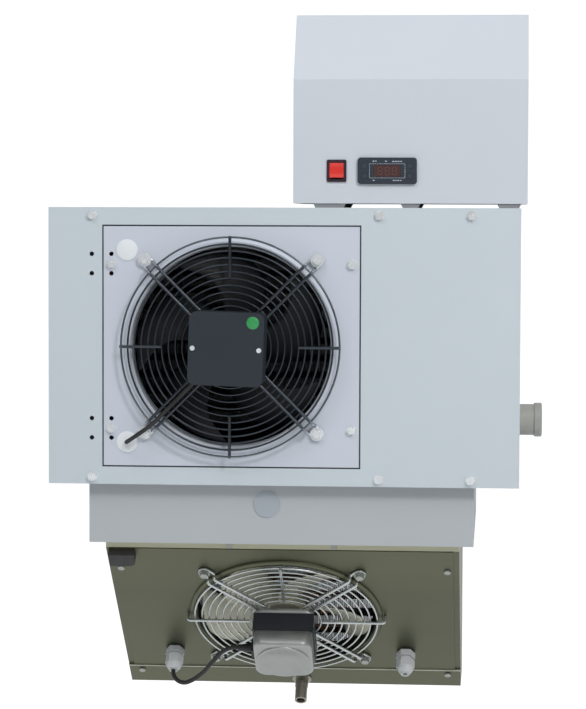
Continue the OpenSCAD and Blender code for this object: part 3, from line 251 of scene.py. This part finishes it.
def colour_mix(tree, first, second, factor):
    """Between two colours, of which the first may be another node's output."""
    mix = add_node(tree, "Mix")
    mix.data_type = "RGBA"
    if isinstance(first, bpy.types.NodeSocket):
        tree.links.new(first, mix.inputs["A"])
    else:
        mix.inputs["A"].default_value = first
    mix.inputs["B"].default_value = second
    tree.links.new(factor, mix.inputs["Factor"])
    return mix.outputs["Result"]


def vector_math(tree, operation, value, by=None):
    made = add_node(tree, "VectorMath")
    made.operation = operation
    if by:
        made.inputs[1].default_value = by
    tree.links.new(value, made.inputs[0])
    return made.outputs["Value" if operation == "LENGTH" else "Vector"]


def shader_mix(tree, factor, first, second):
    mix = add_node(tree, "MixShader")
    for i, socket in enumerate((factor, first, second)):
        tree.links.new(socket, mix.inputs[i])
    return mix.outputs[0]


def ray_is(tree, *kinds):
    """1 for a ray of any of these kinds, and 0 for others."""
    rays = add_node(tree, "LightPath")
    found = rays.outputs[kinds[0]]
    for kind in kinds[1:]:
        either = add_node(tree, "Math")
        either.operation = "MAXIMUM"
        tree.links.new(found, either.inputs[0])
        tree.links.new(rays.outputs[kind], either.inputs[1])
        found = either.outputs[0]
    return found


# Materials
DRIFT_LOW, DRIFT_HIGH, DRIFT_DETAIL, DRIFT_ROUGH = 0.3, 0.7, 5, 0.55
GRAIN_DETAIL, GRAIN_DEPTH = 3, 0.0001
SMOOTHEST = 0.02


def lin(r, g, b):
    """An sRGB colour from 0 to 255 as linear values."""
    def one(c):
        c = c / 255
        return c / 12.92 if c <= 0.04045 else ((c + 0.055) / 1.055) ** 2.4
    return (one(r), one(g), one(b), 1.0)


def material(name, colour, metallic, rough, vary, vary_scale, grain, grain_scale,
             rough_vary=0.06, specular=0.5, coat=0.0, stretch=(1, 1, 1), colour2=None):
    """A procedural finish: slow colour drift, roughness patches and a fine grain in the normal."""
    mat = bpy.data.materials.new(name)
    mat.use_nodes = True
    tree = mat.node_tree
    link = tree.links.new
    shader = tree.nodes["Principled BSDF"]
    shader.inputs["Metallic"].default_value = metallic
    shader.inputs["Specular IOR Level"].default_value = specular
    shader.inputs["Coat Weight"].default_value = coat
    scale = add_node(tree, "Mapping", Scale=stretch)
    link(add_node(tree, "TexCoord").outputs["Object"], scale.inputs["Vector"])
    where = scale.outputs["Vector"]
    drift = noise(tree, where, Scale=vary_scale, Detail=DRIFT_DETAIL, Roughness=DRIFT_ROUGH)
    low = tuple(c * (1 - vary) for c in colour[:3]) + (1.0,)
    high = tuple(min(1.0, c * (1 + vary)) for c in (colour2 or colour)[:3]) + (1.0,)
    spread = ramp(tree, drift, DRIFT_LOW, DRIFT_HIGH)
    link(colour_mix(tree, low, high, spread), shader.inputs["Base Color"])
    gloss = ramp(tree, drift, DRIFT_LOW, DRIFT_HIGH, To_Min=max(SMOOTHEST, rough - rough_vary),
                 To_Max=min(1.0, rough + rough_vary))
    link(gloss, shader.inputs["Roughness"])
    bump = add_node(tree, "Bump", Strength=grain, Distance=GRAIN_DEPTH)
    link(noise(tree, where, Scale=grain_scale, Detail=GRAIN_DETAIL), bump.inputs["Height"])
    link(bump.outputs["Normal"], shader.inputs["Normal"])
    return mat


def radial(mat, inner, outer, centre, edge, blend):
    """The same finish, with one colour within a radius about the y axis and another beyond it."""
    tree = mat.node_tree
    place = add_node(tree, "TexCoord").outputs["Object"]
    flat = vector_math(tree, "MULTIPLY", vector_math(tree, "SUBTRACT", place, centre), (1, 0, 1))
    step = ramp(tree, vector_math(tree, "LENGTH", flat), edge - blend, edge + blend)
    tree.links.new(colour_mix(tree, inner, outer, step),
                   tree.nodes["Principled BSDF"].inputs["Base Color"])
    return mat


def banded(mat, colour, level, blend, axis):
    """The same finish, with another colour beyond a level on one axis."""
    tree = mat.node_tree
    paint = tree.nodes["Principled BSDF"].inputs["Base Color"]
    below = paint.links[0].from_socket
    split = add_node(tree, "SeparateXYZ")
    tree.links.new(add_node(tree, "TexCoord").outputs["Object"], split.inputs[0])
    step = ramp(tree, split.outputs[axis], level - blend, level + blend)
    tree.links.new(colour_mix(tree, below, colour, step), paint)
    return mat


# Each finish: its name, its sRGB colour, then metal, roughness, colour drift and the drift's
# scale, grain and the grain's scale, with what else differs from material()'s defaults
PAINT = (0, 0.42, 0.012, 3, 0.12, 900)
STEEL = (0.85, 0.42, 0.04, 3.5, 0.25, 260)
BRUSHED = {"rough_vary": 0.08, "stretch": (0.12, 1, 1), "colour2": lin(94, 96, 79)}
LOOKS = {
    "paint_front": ("powder_coat_front", (196, 206, 212), PAINT),
    "paint_seat_shaded": ("powder_coat_seat_painted_shade", (196, 206, 212), PAINT),
    "paint_box": ("powder_coat_box", (200, 206, 214), (0, 0.40, 0.012, 3, 0.12, 900)),
    "paint_panel": ("powder_coat_panel", (199, 205, 216), PAINT),
    "paint_plug": ("powder_coat_plug", (177, 182, 186), (0, 0.5, 0.02, 4, 0.15, 600)),
    "plug_cap": ("plug_cap_paint", (163, 171, 180), (0, 0.45, 0.02, 5, 0.15, 700)),
    # painted dark reflection: the stainless finishes, with their lighter drift colour, are coloured
    # dark olive for the dark surroundings that the brushed metal reflects
    "stainless": ("stainless_painted_reflection", (76, 79, 62), STEEL, BRUSHED),
    "housing": ("stainless_housing_painted_light", (76, 79, 62), STEEL, BRUSHED),
    "lip": ("stainless_lip_painted_highlight", (196, 197, 184), (0.5, 0.36, 0.06, 12, 0.2, 400)),
    "zinc_dull": ("zinc_screw_dull", (150, 154, 150), (0.7, 0.42, 0.10, 90, 0.2, 1200)),
    "galvanised": ("galvanised", (165, 170, 174), (0.7, 0.45, 0.10, 60, 0.1, 700)),
    "zinc": ("zinc_bolt", (228, 232, 235), (0.45, 0.26, 0.08, 90, 0.2, 1200)),
    "guard_painted_shade": ("guard_wire_painted_shade", (190, 196, 202), (0.9, 0.32, 0.08, 40, 0.1, 700)),
    "guard_light": ("guard_wire_zinc", (176, 182, 182), (0.8, 0.28, 0.10, 60, 0.15, 700)),
    "black": ("black_plastic", (20, 26, 34), (0, 0.42, 0.12, 20, 0.2, 900)),
    "blade_black": ("blade_plastic", (9, 13, 19), (0, 0.58, 0.15, 14, 0.15, 700),
                    {"specular": 0.28}),
    "cover": ("cover_plastic", (36, 44, 51), (0, 0.55, 0.06, 12, 0.35, 1400),
              {"specular": 0.35}),
    "white": ("white_plastic", (226, 230, 234), (0, 0.32, 0.02, 5, 0.1, 700)),
    "red": ("red_plastic", (214, 46, 36), (0, 0.25, 0.06, 60, 0.05, 700), {"coat": 0.3}),
    "switch": ("switch_plastic", (42, 26, 40), (0, 0.35, 0.08, 5, 0.1, 700)),
    "bezel": ("bezel_plastic", (38, 46, 58), (0, 0.38, 0.06, 5, 0.15, 1500)),
    "key": ("key_plastic", (44, 52, 64), (0, 0.42, 0.06, 5, 0.15, 700)),
    "window": ("window_filter", (72, 46, 46), (0, 0.18, 0.10, 120, 0.02, 700), {"coat": 0.5}),
    "segment": ("segment_off", (92, 60, 58), (0, 0.3, 0.04, 5, 0.02, 700)),
    "print": ("pale_print", (178, 186, 196), (0, 0.5, 0.03, 5, 0.02, 700)),
    "nylon": ("nylon_grey", (196, 199, 202), (0, 0.42, 0.03, 40, 0.15, 700)),
    "rubber": ("rubber_black", (24, 25, 27), (0, 0.62, 0.10, 60, 0.3, 1500)),
    "foam": ("foam_core", (240, 228, 196), (0, 0.9, 0.05, 200, 0.5, 500)),
    "fins": ("fin_aluminium", (178, 184, 188), (0.85, 0.38, 0.10, 30, 0.1, 700)),
    # painted shade: darker copies of the fin and copper finishes for the condenser coil, which sits
    # in shade inside the case
    "fins_painted_shade": ("fin_aluminium_shaded", (70, 75, 80), (0.6, 0.5, 0.12, 30, 0.1, 700)),
    "copper": ("copper_tube", (196, 126, 92), (0.95, 0.30, 0.12, 30, 0.1, 700)),
    "copper_painted_shade": ("copper_tube_painted_shade", (70, 50, 40), (0.7, 0.5, 0.12, 30, 0.1, 700)),
    "alloy": ("cast_alloy", (150, 153, 152), (0.75, 0.44, 0.06, 50, 0.35, 900)),
    "stack": ("stack_black", (22, 26, 34), (0.2, 0.42, 0.08, 5, 0.5, 500)),
    "compressor": ("compressor_black", (26, 27, 30), (0, 0.3, 0.1, 5, 0.1, 700)),
    "blade_alloy": ("blade_aluminium", (214, 212, 194), (0.25, 0.45, 0.04, 20, 0.15, 700)),
    "stub": ("stub_plastic", (164, 164, 158), (0, 0.5, 0.05, 30, 0.3, 700)),
    "drain": ("drain_alloy", (150, 148, 138), (0.7, 0.4, 0.10, 60, 0.2, 700)),
    "pad": ("pad_rubber", (134, 138, 143), (0, 0.6, 0.05, 5, 0.2, 700)),
    "green": ("green_disc", (46, 146, 80), (0, 0.4, 0.06, 150, 0.05, 700)),
}
FINISH = {key: material(name, lin(*rgb), *look, **(more[0] if more else {}))
          for key, (name, rgb, look, *more) in LOOKS.items()}

# Painted shade in the seam behind the fan panel, a painted highlight along the top edge of the
# evaporator's housing, and guard wire darkened with painted shade and dark reflection over the
# opening and bright at its bolted ends
SEAM_IN, SEAM_BLEND, EDGE_BLEND = 0.0009, 0.0003, 0.0004
WIRE_EDGE, WIRE_BLEND = 0.148, 0.006
# painted shade: the front panel is coloured dark behind its front face, where the seam around the
# fan panel is in shade
banded(FINISH["paint_seat_shaded"], lin(46, 54, 60), FRONT_Y + SEAM_IN, SEAM_BLEND, "Y")
# painted highlight: the evaporator's housing is coloured pale above the top of the slope, where its
# edge catches light from above
banded(FINISH["housing"], lin(166, 168, 148), SLOPE_Z, EDGE_BLEND, "Z")
# painted shade and dark reflection: the condenser guard's wire is coloured dark within the
# opening's radius and keeps its bright colour beyond it
radial(FINISH["guard_painted_shade"], lin(62, 68, 74), lin(190, 196, 202), (PANEL_X, FRONT_Y, PANEL_Z),
       WIRE_EDGE, WIRE_BLEND)

FINISH_NODES = {
    "paint_front": "top_cover left_side_panel right_side_panel rear_panel",
    "paint_seat_shaded": "front_panel",
    "paint_box": "control_hood",
    "paint_panel": "fan_panel",
    "paint_plug": "ceiling_plug",
    "plug_cap": "plug_cap",
    "stainless": "fan_plate drain_pan",
    "housing": "evaporator_housing",
    "zinc_dull": "plate_screws",
    "galvanised": "base_pan divider_panel control_base",
    "zinc": "fan_panel_bolts panel_bolts guard_bolts cover_screws condenser_shaft "
            "evaporator_shaft",
    "guard_painted_shade": "condenser_guard",
    "guard_light": "evaporator_guard",
    "black": "terminal_cover controller_case",
    "blade_black": "condenser_impeller",
    "cover": "condenser_motor motor_cover",
    "white": "hole_caps",
    "red": "switch_rocker",
    "switch": "switch_frame",
    "bezel": "controller_bezel",
    "key": "key_up key_down key_set key_light",
    "window": "display_window",
    "nylon": "cable_glands",
    "rubber": "compressor_grommets gland_gaskets strain_relief motor_cable seal_block",
    "foam": "plug_core",
    "fins": "condenser_coil evaporator_coil",
    "copper": "condenser_bends filter_drier discharge_pipe liquid_pipe suction_pipe "
              "evaporator_bends",
    "alloy": "motor_end_caps",
    "stack": "motor_stack",
    "compressor": "compressor_shell",
    "blade_alloy": "evaporator_blades",
    "stub": "side_spigot",
    "drain": "drain_spigot",
    "pad": "control_feet",
}
finish_of = {node: key for key, nodes in FINISH_NODES.items() for node in nodes.split()}
for node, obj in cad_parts.items():
    obj.data.materials.clear()
    obj.data.materials.append(FINISH[finish_of[node]])


# Pieces that the scene adds
def dress(piece, body, slot, finish, *nodes):
    """Material, body and the CAD nodes that the piece stands for; slot is not used."""
    piece.data.materials.append(FINISH[finish])
    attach(piece, body)
    if nodes:
        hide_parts(*nodes)
    return piece


LEAD_STEPS = 3
EVAP_LEAD_D, COND_LEAD_D = 0.006, 0.0056


def motor_lead(name, points, thick, lay, *nodes):
    """A motor's lead along a smooth line through the points, with both ends on the case."""
    line = smooth_line(points, LEAD_STEPS)
    piece = dress(mesh_piece(name, *tube(line, thick / 2)), "case", "rubber", "rubber", *nodes)


# The evaporator motor's free lead, from its strain relief to the left gland: x, y, z in mm
EVAP_LEAD = [
    (-73, -81, -240), (-81, -81, -240.5), (-90, -79.5, -244), (-98, -76, -250), (-106, -71, -259),
    (-114, -65, -268), (-122, -59, -278), (-131, -54, -286), (-141, -49, -293), (-151, -46, -297),
    (-160, -43.5, -295.5), (-166, -39.5, -291), (-168.5, -35.5, -286.5), (-169, -32, -282),
]
motor_lead("evaporator_motor_lead", [Vector(p) * MM for p in EVAP_LEAD], EVAP_LEAD_D, "hanging",
           "motor_cable")

# The condenser motor's lead, along a guard arm and down into the lower cap: distance from the
# fan's middle in mm, turn in degrees, height off the panel in mm
COND_LEAD = [
    (64.8, 225, 25), (73, 225, 24.9), (80, 225, 23.7), (88, 225, 21.2), (96, 225, 19.4),
    (106, 225, 18.8), (118, 225, 18.8), (130, 225, 18.8), (140, 224.9, 19.2), (149, 224.65, 20.8),
    (156, 224.3, 22.3), (162.7, 223.9, 22.9), (170.2, 223.5, 21.6), (177.5, 223.1, 17.8),
    (183, 222.8, 12), (186.2, 222.65, 6.8), (186.8, 222.61, 3.1),
]
around = [(away * MM, math.radians(turn), up_mm * MM) for away, turn, up_mm in COND_LEAD]
motor_lead("condenser_motor_lead",
           [PANEL @ Vector((r * math.cos(a), r * math.sin(a), z)) for r, a, z in around],
           COND_LEAD_D, "taut")


# Fan wheels with fine blades
HUB_WALL, HUB_EDGE, HUB_SIDES = 0.004, 0.0025, 96
EDGE_DROP = 0.3                          # of the hub's edge, at the middle of its chamfer
BOSS_D, BORE_R = 0.022, 0.00405
BLADES, CAMBER = 5, 0.05
EDGE_HALF, BELLY_HALF = 0.18, 0.32       # of a blade's thickness, at its edge and added inside
TIP_FROM, TIP_CUT = 0.86, 0.16           # of the span and of the chord


def between(pair, u):
    return pair[0] + (pair[1] - pair[0]) * u


def blade(r0, r1, chords, pitches, sweep, thick, z, rows=26, cuts=16):
    """A twisted and swept blade from root to tip, thin at its edges."""
    outline = [(k / (cuts - 1) - 0.5, 1) for k in range(cuts)]
    outline += [(s, -1) for s, _ in reversed(outline)]
    rings = []
    for j in range(rows):
        u = j / (rows - 1)
        r, chord = between((r0, r1), u), between(chords, u)
        pitch = math.radians(between(pitches, u))
        tip = max(0.0, (u - TIP_FROM) / (1 - TIP_FROM))
        section = []
        for s, face_side in reversed(outline):
            bow = 1 - 4 * s * s
            half = thick * (EDGE_HALF + BELLY_HALF * math.sqrt(max(bow, 0)))
            along = s * (1 - TIP_CUT * tip * tip) * chord
            a = math.radians(sweep * u * u) + along * math.cos(pitch) / r
            rise = along * math.sin(pitch) + CAMBER * chord * bow + face_side * half
            section.append((r * math.cos(a), r * math.sin(a), z + rise))
        rings.append(section)
    return loft(rings)


def hub(d, back, front):
    """A cup-shaped hub with a boss round the shaft, open at the back."""
    r, rim = d / 2, HUB_EDGE * EDGE_DROP
    return lathe([
        (BORE_R, front), (r - HUB_EDGE, front), (r - rim, front - rim), (r, front - HUB_EDGE),
        (r, -back), (r - HUB_WALL, -back), (r - HUB_WALL, front - HUB_WALL),
        (BOSS_D / 2, front - HUB_WALL), (BOSS_D / 2, -back), (BORE_R, -back), (BORE_R, front),
    ], HUB_SIDES)


def wheel(name, node, place, body, slot, finish, d, hub_d, back, front, chords, pitches, sweep,
          thick):
    """A fan wheel, whose blades go from just inside the hub to its diameter d."""
    one = blade(hub_d / 2 - HUB_WALL, d / 2, chords, pitches, sweep, thick, (front - back) / 2)
    turns = [Matrix.Rotation(TAU * i / BLADES, 4, "Z") for i in range(BLADES)]
    parts = [hub(hub_d, back, front)] + [shift(one, turn) for turn in turns]
    dress(mesh_piece(name, *join(parts), place), body, slot, finish, node)


wheel("condenser_fan_wheel", "condenser_impeller", PANEL, "condenser_fan", "black_plastic",
      "blade_black", d=0.250, hub_d=0.078, back=0.032, front=0.002, chords=(0.050, 0.096),
      pitches=(36, 22), sweep=34, thick=0.0030)
wheel("evaporator_fan_wheel", "evaporator_blades", EVAP, "evaporator_fan", "blade_alloy",
      "blade_alloy", d=0.236, hub_d=0.062, back=0.026, front=0.003, chords=(0.046, 0.092),
      pitches=(34, 20), sweep=-30, thick=0.0022)

# Coils with thin fins between two end plates, on copper tubes
END_T, END_OVER = 0.0015, 0.001
FIN_HALF, FIN_STEPS = 0.00022, 6
FIN_JITTER, FIN_LEAN, FIN_SWAY = 0.0002, 0.0003, 0.00008
TUBE_R, TUBE_SIDES, TUBE_STEP = 0.00475, 20, 0.025
TUBE_ROWS = (0.012, 0.034)               # behind the coil's front
COND_FIN_D, COND_FOOT = 0.046, 0.020


def finned(name, node, corner, far, pitch, tubes, middle, seed, shade=""):
    """A coil between two corners, with rows of so many tubes about a middle height."""
    chance = random.Random(seed)
    (x0, y0, z0), (x1, y1, z1) = corner, far
    count = int((x1 - x0 - 2 * END_T) / pitch)
    start = (x0 + x1 - (count - 1) * pitch) / 2
    parts = []
    for i in range(count):
        x = start + i * pitch + chance.uniform(-FIN_JITTER, FIN_JITTER)
        lean = chance.uniform(-FIN_LEAN, FIN_LEAN)
        rings = []
        for k in range(FIN_STEPS + 1):
            z = z0 + (z1 - z0) * k / FIN_STEPS
            bent = x + (lean * math.sin(math.pi * k / FIN_STEPS)
                        + chance.uniform(-FIN_SWAY, FIN_SWAY))
            rings.append([(bent - FIN_HALF, y0, z), (bent + FIN_HALF, y0, z),
                          (x + FIN_HALF, y1, z), (x - FIN_HALF, y1, z)])
        parts.append(loft(rings))
    piece = mesh_piece(name, *join(parts), smooth=False)
    dress(piece, "case", "fins", "fins" + shade, node)
    ends = [box((x, y0, z0 - END_OVER), (x + END_T, y1, z1 + END_OVER)) for x in (x0, x1 - END_T)]
    piece = mesh_piece(name + "_end_plates", *join(ends), smooth=False)
    dress(piece, "case", "galvanised", "galvanised")
    rod = lathe([(0, x0), (TUBE_R, x0), (TUBE_R, x1), (0, x1)], TUBE_SIDES)
    low = middle - (tubes - 1) / 2 * TUBE_STEP
    rods = [shift(rod, axes((0, y0 + row, low + i * TUBE_STEP), (0, 1, 0), (0, 0, 1), (1, 0, 0)))
            for row in TUBE_ROWS for i in range(tubes)]
    dress(mesh_piece(name + "_tubes", *join(rods)), "case", "copper", "copper" + shade)


lo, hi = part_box("condenser_coil")
# The condenser coil takes the darker copies of its finishes, painted shade inside the case
finned("condenser_fins", "condenser_coil", (lo.x, lo.y, lo.z + COND_FOOT),
       (hi.x, lo.y + COND_FIN_D, hi.z - END_OVER), pitch=0.0022, tubes=12, middle=PANEL_Z, seed=5,
       shade="_painted_shade")
lo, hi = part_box("evaporator_coil")
finned("evaporator_fins", "evaporator_coil", (lo.x, lo.y, lo.z + END_OVER),
       (hi.x, hi.y, hi.z - END_OVER), pitch=0.0030, tubes=8, middle=(lo.z + hi.z) / 2, seed=9)

# Evaporator motor's caps, cast with rounded shoulders, seated on the guard's arms
RING_OUT, ARM_OUT, ARM_WIRE, MOTOR_GAP = 0.0085, 0.0030, 0.004, 0.0001
MOTOR = EVAP @ Matrix.Translation((0, 0, PLATE_T + RING_OUT + ARM_OUT + ARM_WIRE / 2 + MOTOR_GAP))
FRONT_CAP, STACK, REAR_CAP, CAP_W = 0.011, 0.027, 0.024, 0.080
CAP_FACE = FRONT_CAP + STACK + REAR_CAP
CAP_CORNER, FRONT_CORNER, REAR_CORNER = 0.007, 0.012, 0.015
FRONT_SHOULDER, REAR_SHOULDER, SHAFT_BORE = 0.005, 0.0065, 0.0043
CORNER_DRAW = 0.3                        # of what a side draws in, off the corner's radius
REAR_BOSS = [(0, -10), (36.2, -10), (36.2, 1.4), (35.6, 1.9), (32.2, 1.9), (31.4, 1.2),
             (30.8, 0.6), (0, 0.6)]      # radius and height over the face, in mm
BOSS_SIDES = 96


def cast_cap(joint, face, corner, face_corner, shoulder, bore=0.0, steps=8):
    """A cap from its joint to its face, whose outer edge is rounded over."""
    way = math.copysign(shoulder, face - joint)
    rings = [square_ring(CAP_W, corner, joint)]
    for k in range(steps + 1):
        a = math.pi / 2 * k / steps
        drawn = shoulder * (1 - math.cos(a))
        rings.append(square_ring(CAP_W - 2 * drawn, face_corner - drawn * CORNER_DRAW,
                                 face - way * (1 - math.sin(a))))
    if face < joint:
        rings.reverse()
    if not bore:
        return loft(rings)
    for ring in (rings[-1], rings[0]):
        turns = [math.atan2(p[1], p[0]) for p in ring]
        rings.append([(bore * math.cos(t), bore * math.sin(t), ring[0][2]) for t in turns])
    return [p for ring in rings for p in ring], ring_faces(len(rings[0]), len(rings) - 1, wrap=True)


caps = [cast_cap(FRONT_CAP, 0, CAP_CORNER, FRONT_CORNER, FRONT_SHOULDER, bore=SHAFT_BORE),
        cast_cap(FRONT_CAP + STACK, CAP_FACE, CAP_CORNER, REAR_CORNER, REAR_SHOULDER),
        lathe(in_mm(REAR_BOSS, CAP_FACE), BOSS_SIDES)]
dress(mesh_piece("evaporator_motor_caps", *join(caps), MOTOR), "case", "motor_alloy", "alloy",
      "motor_end_caps")

# Screw heads beside the strain relief, on the motor's left face
SCREW_HEAD = [(0, -0.2), (3.4, -0.2), (3.4, 1.4), (2.6, 2.4), (0, 2.6)]
STACK_SIDE, HEAD_SIDES = -0.0415, 24
heads = [shift(lathe(in_mm(SCREW_HEAD), HEAD_SIDES),
               axes((STACK_SIDE, y, z), (0, 0, 1), (0, 1, 0), (-1, 0, 0)))
         for y, z in ((-0.0060, 0.0245), (-0.0150, 0.0245))]
dress(mesh_piece("motor_side_screws", *join(heads), MOTOR), "case", "zinc_bolt", "zinc")

# Turned-out lip of the drain pan, under the fan plate's lower edge, coloured pale as a painted
# highlight where it catches light from above
EVAP_W, PLATE_L = 0.472, 0.291
LIP_NEAR, LIP_FAR, LIP_LOW, LIP_HIGH = 0.0003, 0.0015, 0.0011, 0.0030
lip = box((-EVAP_W / 2, -PLATE_L - LIP_FAR, LIP_LOW), (EVAP_W / 2, -PLATE_L - LIP_NEAR, LIP_HIGH))
dress(mesh_piece("drain_pan_lip", *lip, ON_SLOPE, smooth=False), "case", "stainless", "lip")

# Plain green disc on the condenser motor's cover
DISC = [(0, 0), (8.2, 0), (8.2, 0.4), (7.9, 0.6), (0, 0.6)]
DISC_AT = (0.034, 0.035, COVER_OUT)
disc = shift(lathe(in_mm(DISC)), Matrix.Translation(DISC_AT))
dress(mesh_piece("cover_disc", *disc, COVER), "case", None, "green")

# Light marks and display segments on the controller
MARK_HALF_T, MARK_H, MARK_LINE = 0.0001, 0.0012, 0.00045
FRAME_W, FRAME_H, DASH, DASH_GAP = 0.0462, 0.0184, 0.0024, 0.0006
SEGMENT_Z = BEZEL_OUT - 0.0002
DIGITS, DIGIT_STEP, DIGIT_X, DIGIT_Y = 3, 0.0092, 0.0026, 0.0048
SEGMENT_W, SEGMENT_H, SEGMENT_T = 0.0040, 0.0038, 0.0009
POINT = (0.0046, -0.00475, 0.0010, 0.0009)


def mark(x, y, w, h, z=BEZEL_OUT):
    """A thin bar about (x, y, z)."""
    return box((x - w / 2, y - h / 2, z - MARK_HALF_T), (x + w / 2, y + h / 2, z + MARK_HALF_T))


def dashed_frame(w, h):
    """The four sides of a rectangle in dashes."""
    parts = []
    for length, other, upright in ((w, h, False), (h, w, True)):
        count = int(length / (DASH + DASH_GAP))
        for c in (-other / 2, other / 2):
            for k in range(count):
                a = -length / 2 + (k + 0.5) * length / count
                parts.append(mark(c, a, MARK_LINE, DASH) if upright
                             else mark(a, c, DASH, MARK_LINE))
    return parts


MARKS = ((-0.0178, 0.0125, 0.0022), (-0.0146, 0.0125, 0.0018), (-0.0016, 0.0125, 0.0024),
         (0.0078, 0.0122, 0.0026), (0.0112, 0.0122, 0.0026), (0.0146, 0.0122, 0.0026),
         (0.0180, 0.0122, 0.0026), (-0.0176, -0.0124, 0.0024), (0.0084, -0.0124, 0.0020),
         (0.0114, -0.0124, 0.0020), (0.0144, -0.0124, 0.0026), (0.0178, -0.0124, 0.0016))
marks = dashed_frame(FRAME_W, FRAME_H) + [mark(x, y, w, MARK_H) for x, y, w in MARKS]
dress(mesh_piece("controller_marks", *join(marks), DIAL, smooth=False), "case", "white_plastic",
      "print")

FLAT, UPRIGHT = (SEGMENT_W, SEGMENT_T), (SEGMENT_T, SEGMENT_H)
SEGMENTS = ((0, 1, FLAT), (0, 0, FLAT), (0, -1, FLAT), (-1, 0.5, UPRIGHT), (1, 0.5, UPRIGHT),
            (-1, -0.5, UPRIGHT), (1, -0.5, UPRIGHT))
digits = [mark((d - (DIGITS - 1) / 2) * DIGIT_STEP + sx * DIGIT_X, sy * DIGIT_Y, *bar, SEGMENT_Z)
          for d in range(DIGITS) for sx, sy, bar in SEGMENTS]
digits.append(mark(*POINT, SEGMENT_Z))
dress(mesh_piece("display_segments", *join(digits), DIAL, smooth=False), "case", "window",
      "segment")


# Floor and backdrop in one sheet, world and lights
def studio(albedo, glow_level):
    """A pale floor that bends up behind the object, white to the camera and to mirrors."""
    floor_z, near, far, reach, rise, bend, steps = -0.62, -6.0, 5.0, 9.0, 7.0, 1.4, 12
    rows = [(near, floor_z), (far, floor_z)]
    for k in range(1, steps + 1):
        a = math.pi / 2 * k / steps
        rows.append((far + bend * math.sin(a), floor_z + bend * (1 - math.cos(a))))
    rows.append((far + bend, floor_z + rise))
    verts = [(s * reach, y, z) for y, z in rows for s in (-1, 1)]
    faces = [(2 * i, 2 * i + 1, 2 * i + 3, 2 * i + 2) for i in range(len(rows) - 1)]
    piece = mesh_piece("studio_floor", verts, faces)
    mat = bpy.data.materials.new("studio_white")
    mat.use_nodes = True
    tree = mat.node_tree
    tree.nodes.clear()
    lit = add_node(tree, "BsdfDiffuse", Color=(albedo, albedo, albedo, 1)).outputs[0]
    add = add_node(tree, "AddShader")
    tree.links.new(lit, add.inputs[0])
    tree.links.new(add_node(tree, "Emission", Strength=glow_level).outputs[0], add.inputs[1])
    seen = ray_is(tree, "Is Camera Ray", "Is Glossy Ray", "Is Transmission Ray")
    tree.links.new(shader_mix(tree, seen, lit, add.outputs[0]),
                   add_node(tree, "OutputMaterial").inputs["Surface"])
    piece.data.materials.append(mat)


def sky(ambient, tint, room):
    """White where the camera looks, plainer light for diffuse rays, and a dimmer room in front."""
    room_from, room_to = -0.6, 0.2       # of the direction's y
    world = bpy.data.worlds.new("studio_world")
    bpy.context.scene.world = world
    world.use_nodes = True
    tree = world.node_tree
    tree.nodes.clear()
    split = add_node(tree, "SeparateXYZ")
    tree.links.new(add_node(tree, "TexCoord").outputs["Generated"], split.inputs[0])
    facing = ramp(tree, split.outputs["Y"], room_from, room_to, To_Min=room, To_Max=1.0)
    soft = add_node(tree, "Background", Color=(*tint, 1), Strength=ambient)
    mirror = add_node(tree, "Background")
    tree.links.new(facing, mirror.inputs["Strength"])
    white = add_node(tree, "Background")
    lighting = shader_mix(tree, ray_is(tree, "Is Glossy Ray"), soft.outputs[0], mirror.outputs[0])
    seen = ray_is(tree, "Is Camera Ray", "Is Transmission Ray")
    tree.links.new(shader_mix(tree, seen, lighting, white.outputs[0]),
                   add_node(tree, "OutputWorld").inputs["Surface"])


def lamp(name, at, aim, width, power, colour):
    """A round area lamp that points from one place to another."""
    data = bpy.data.lights.new(name, "AREA")
    data.shape = "DISK"
    data.size = width
    data.energy = power
    data.color = colour
    obj = bpy.data.objects.new(name, data)
    obj.location = at
    obj.rotation_mode = "QUATERNION"
    obj.rotation_quaternion = (Vector(aim) - Vector(at)).to_track_quat("-Z", "Y")
    bpy.context.collection.objects.link(obj)


studio(albedo=0.80, glow_level=0.66)
sky(ambient=0.48, tint=(0.95, 0.975, 1.0), room=0.38)
lamp("key", (1.5, -2.8, 2.2), (0, -0.1, 0.15), width=0.9, power=54, colour=(1.0, 0.99, 0.97))
lamp("fill", (-0.9, -1.9, 2.6), (0.1, -0.1, 0.4), width=1.4, power=19, colour=(0.94, 0.97, 1.0))
bpy.context.scene.view_settings.view_transform = "Standard"
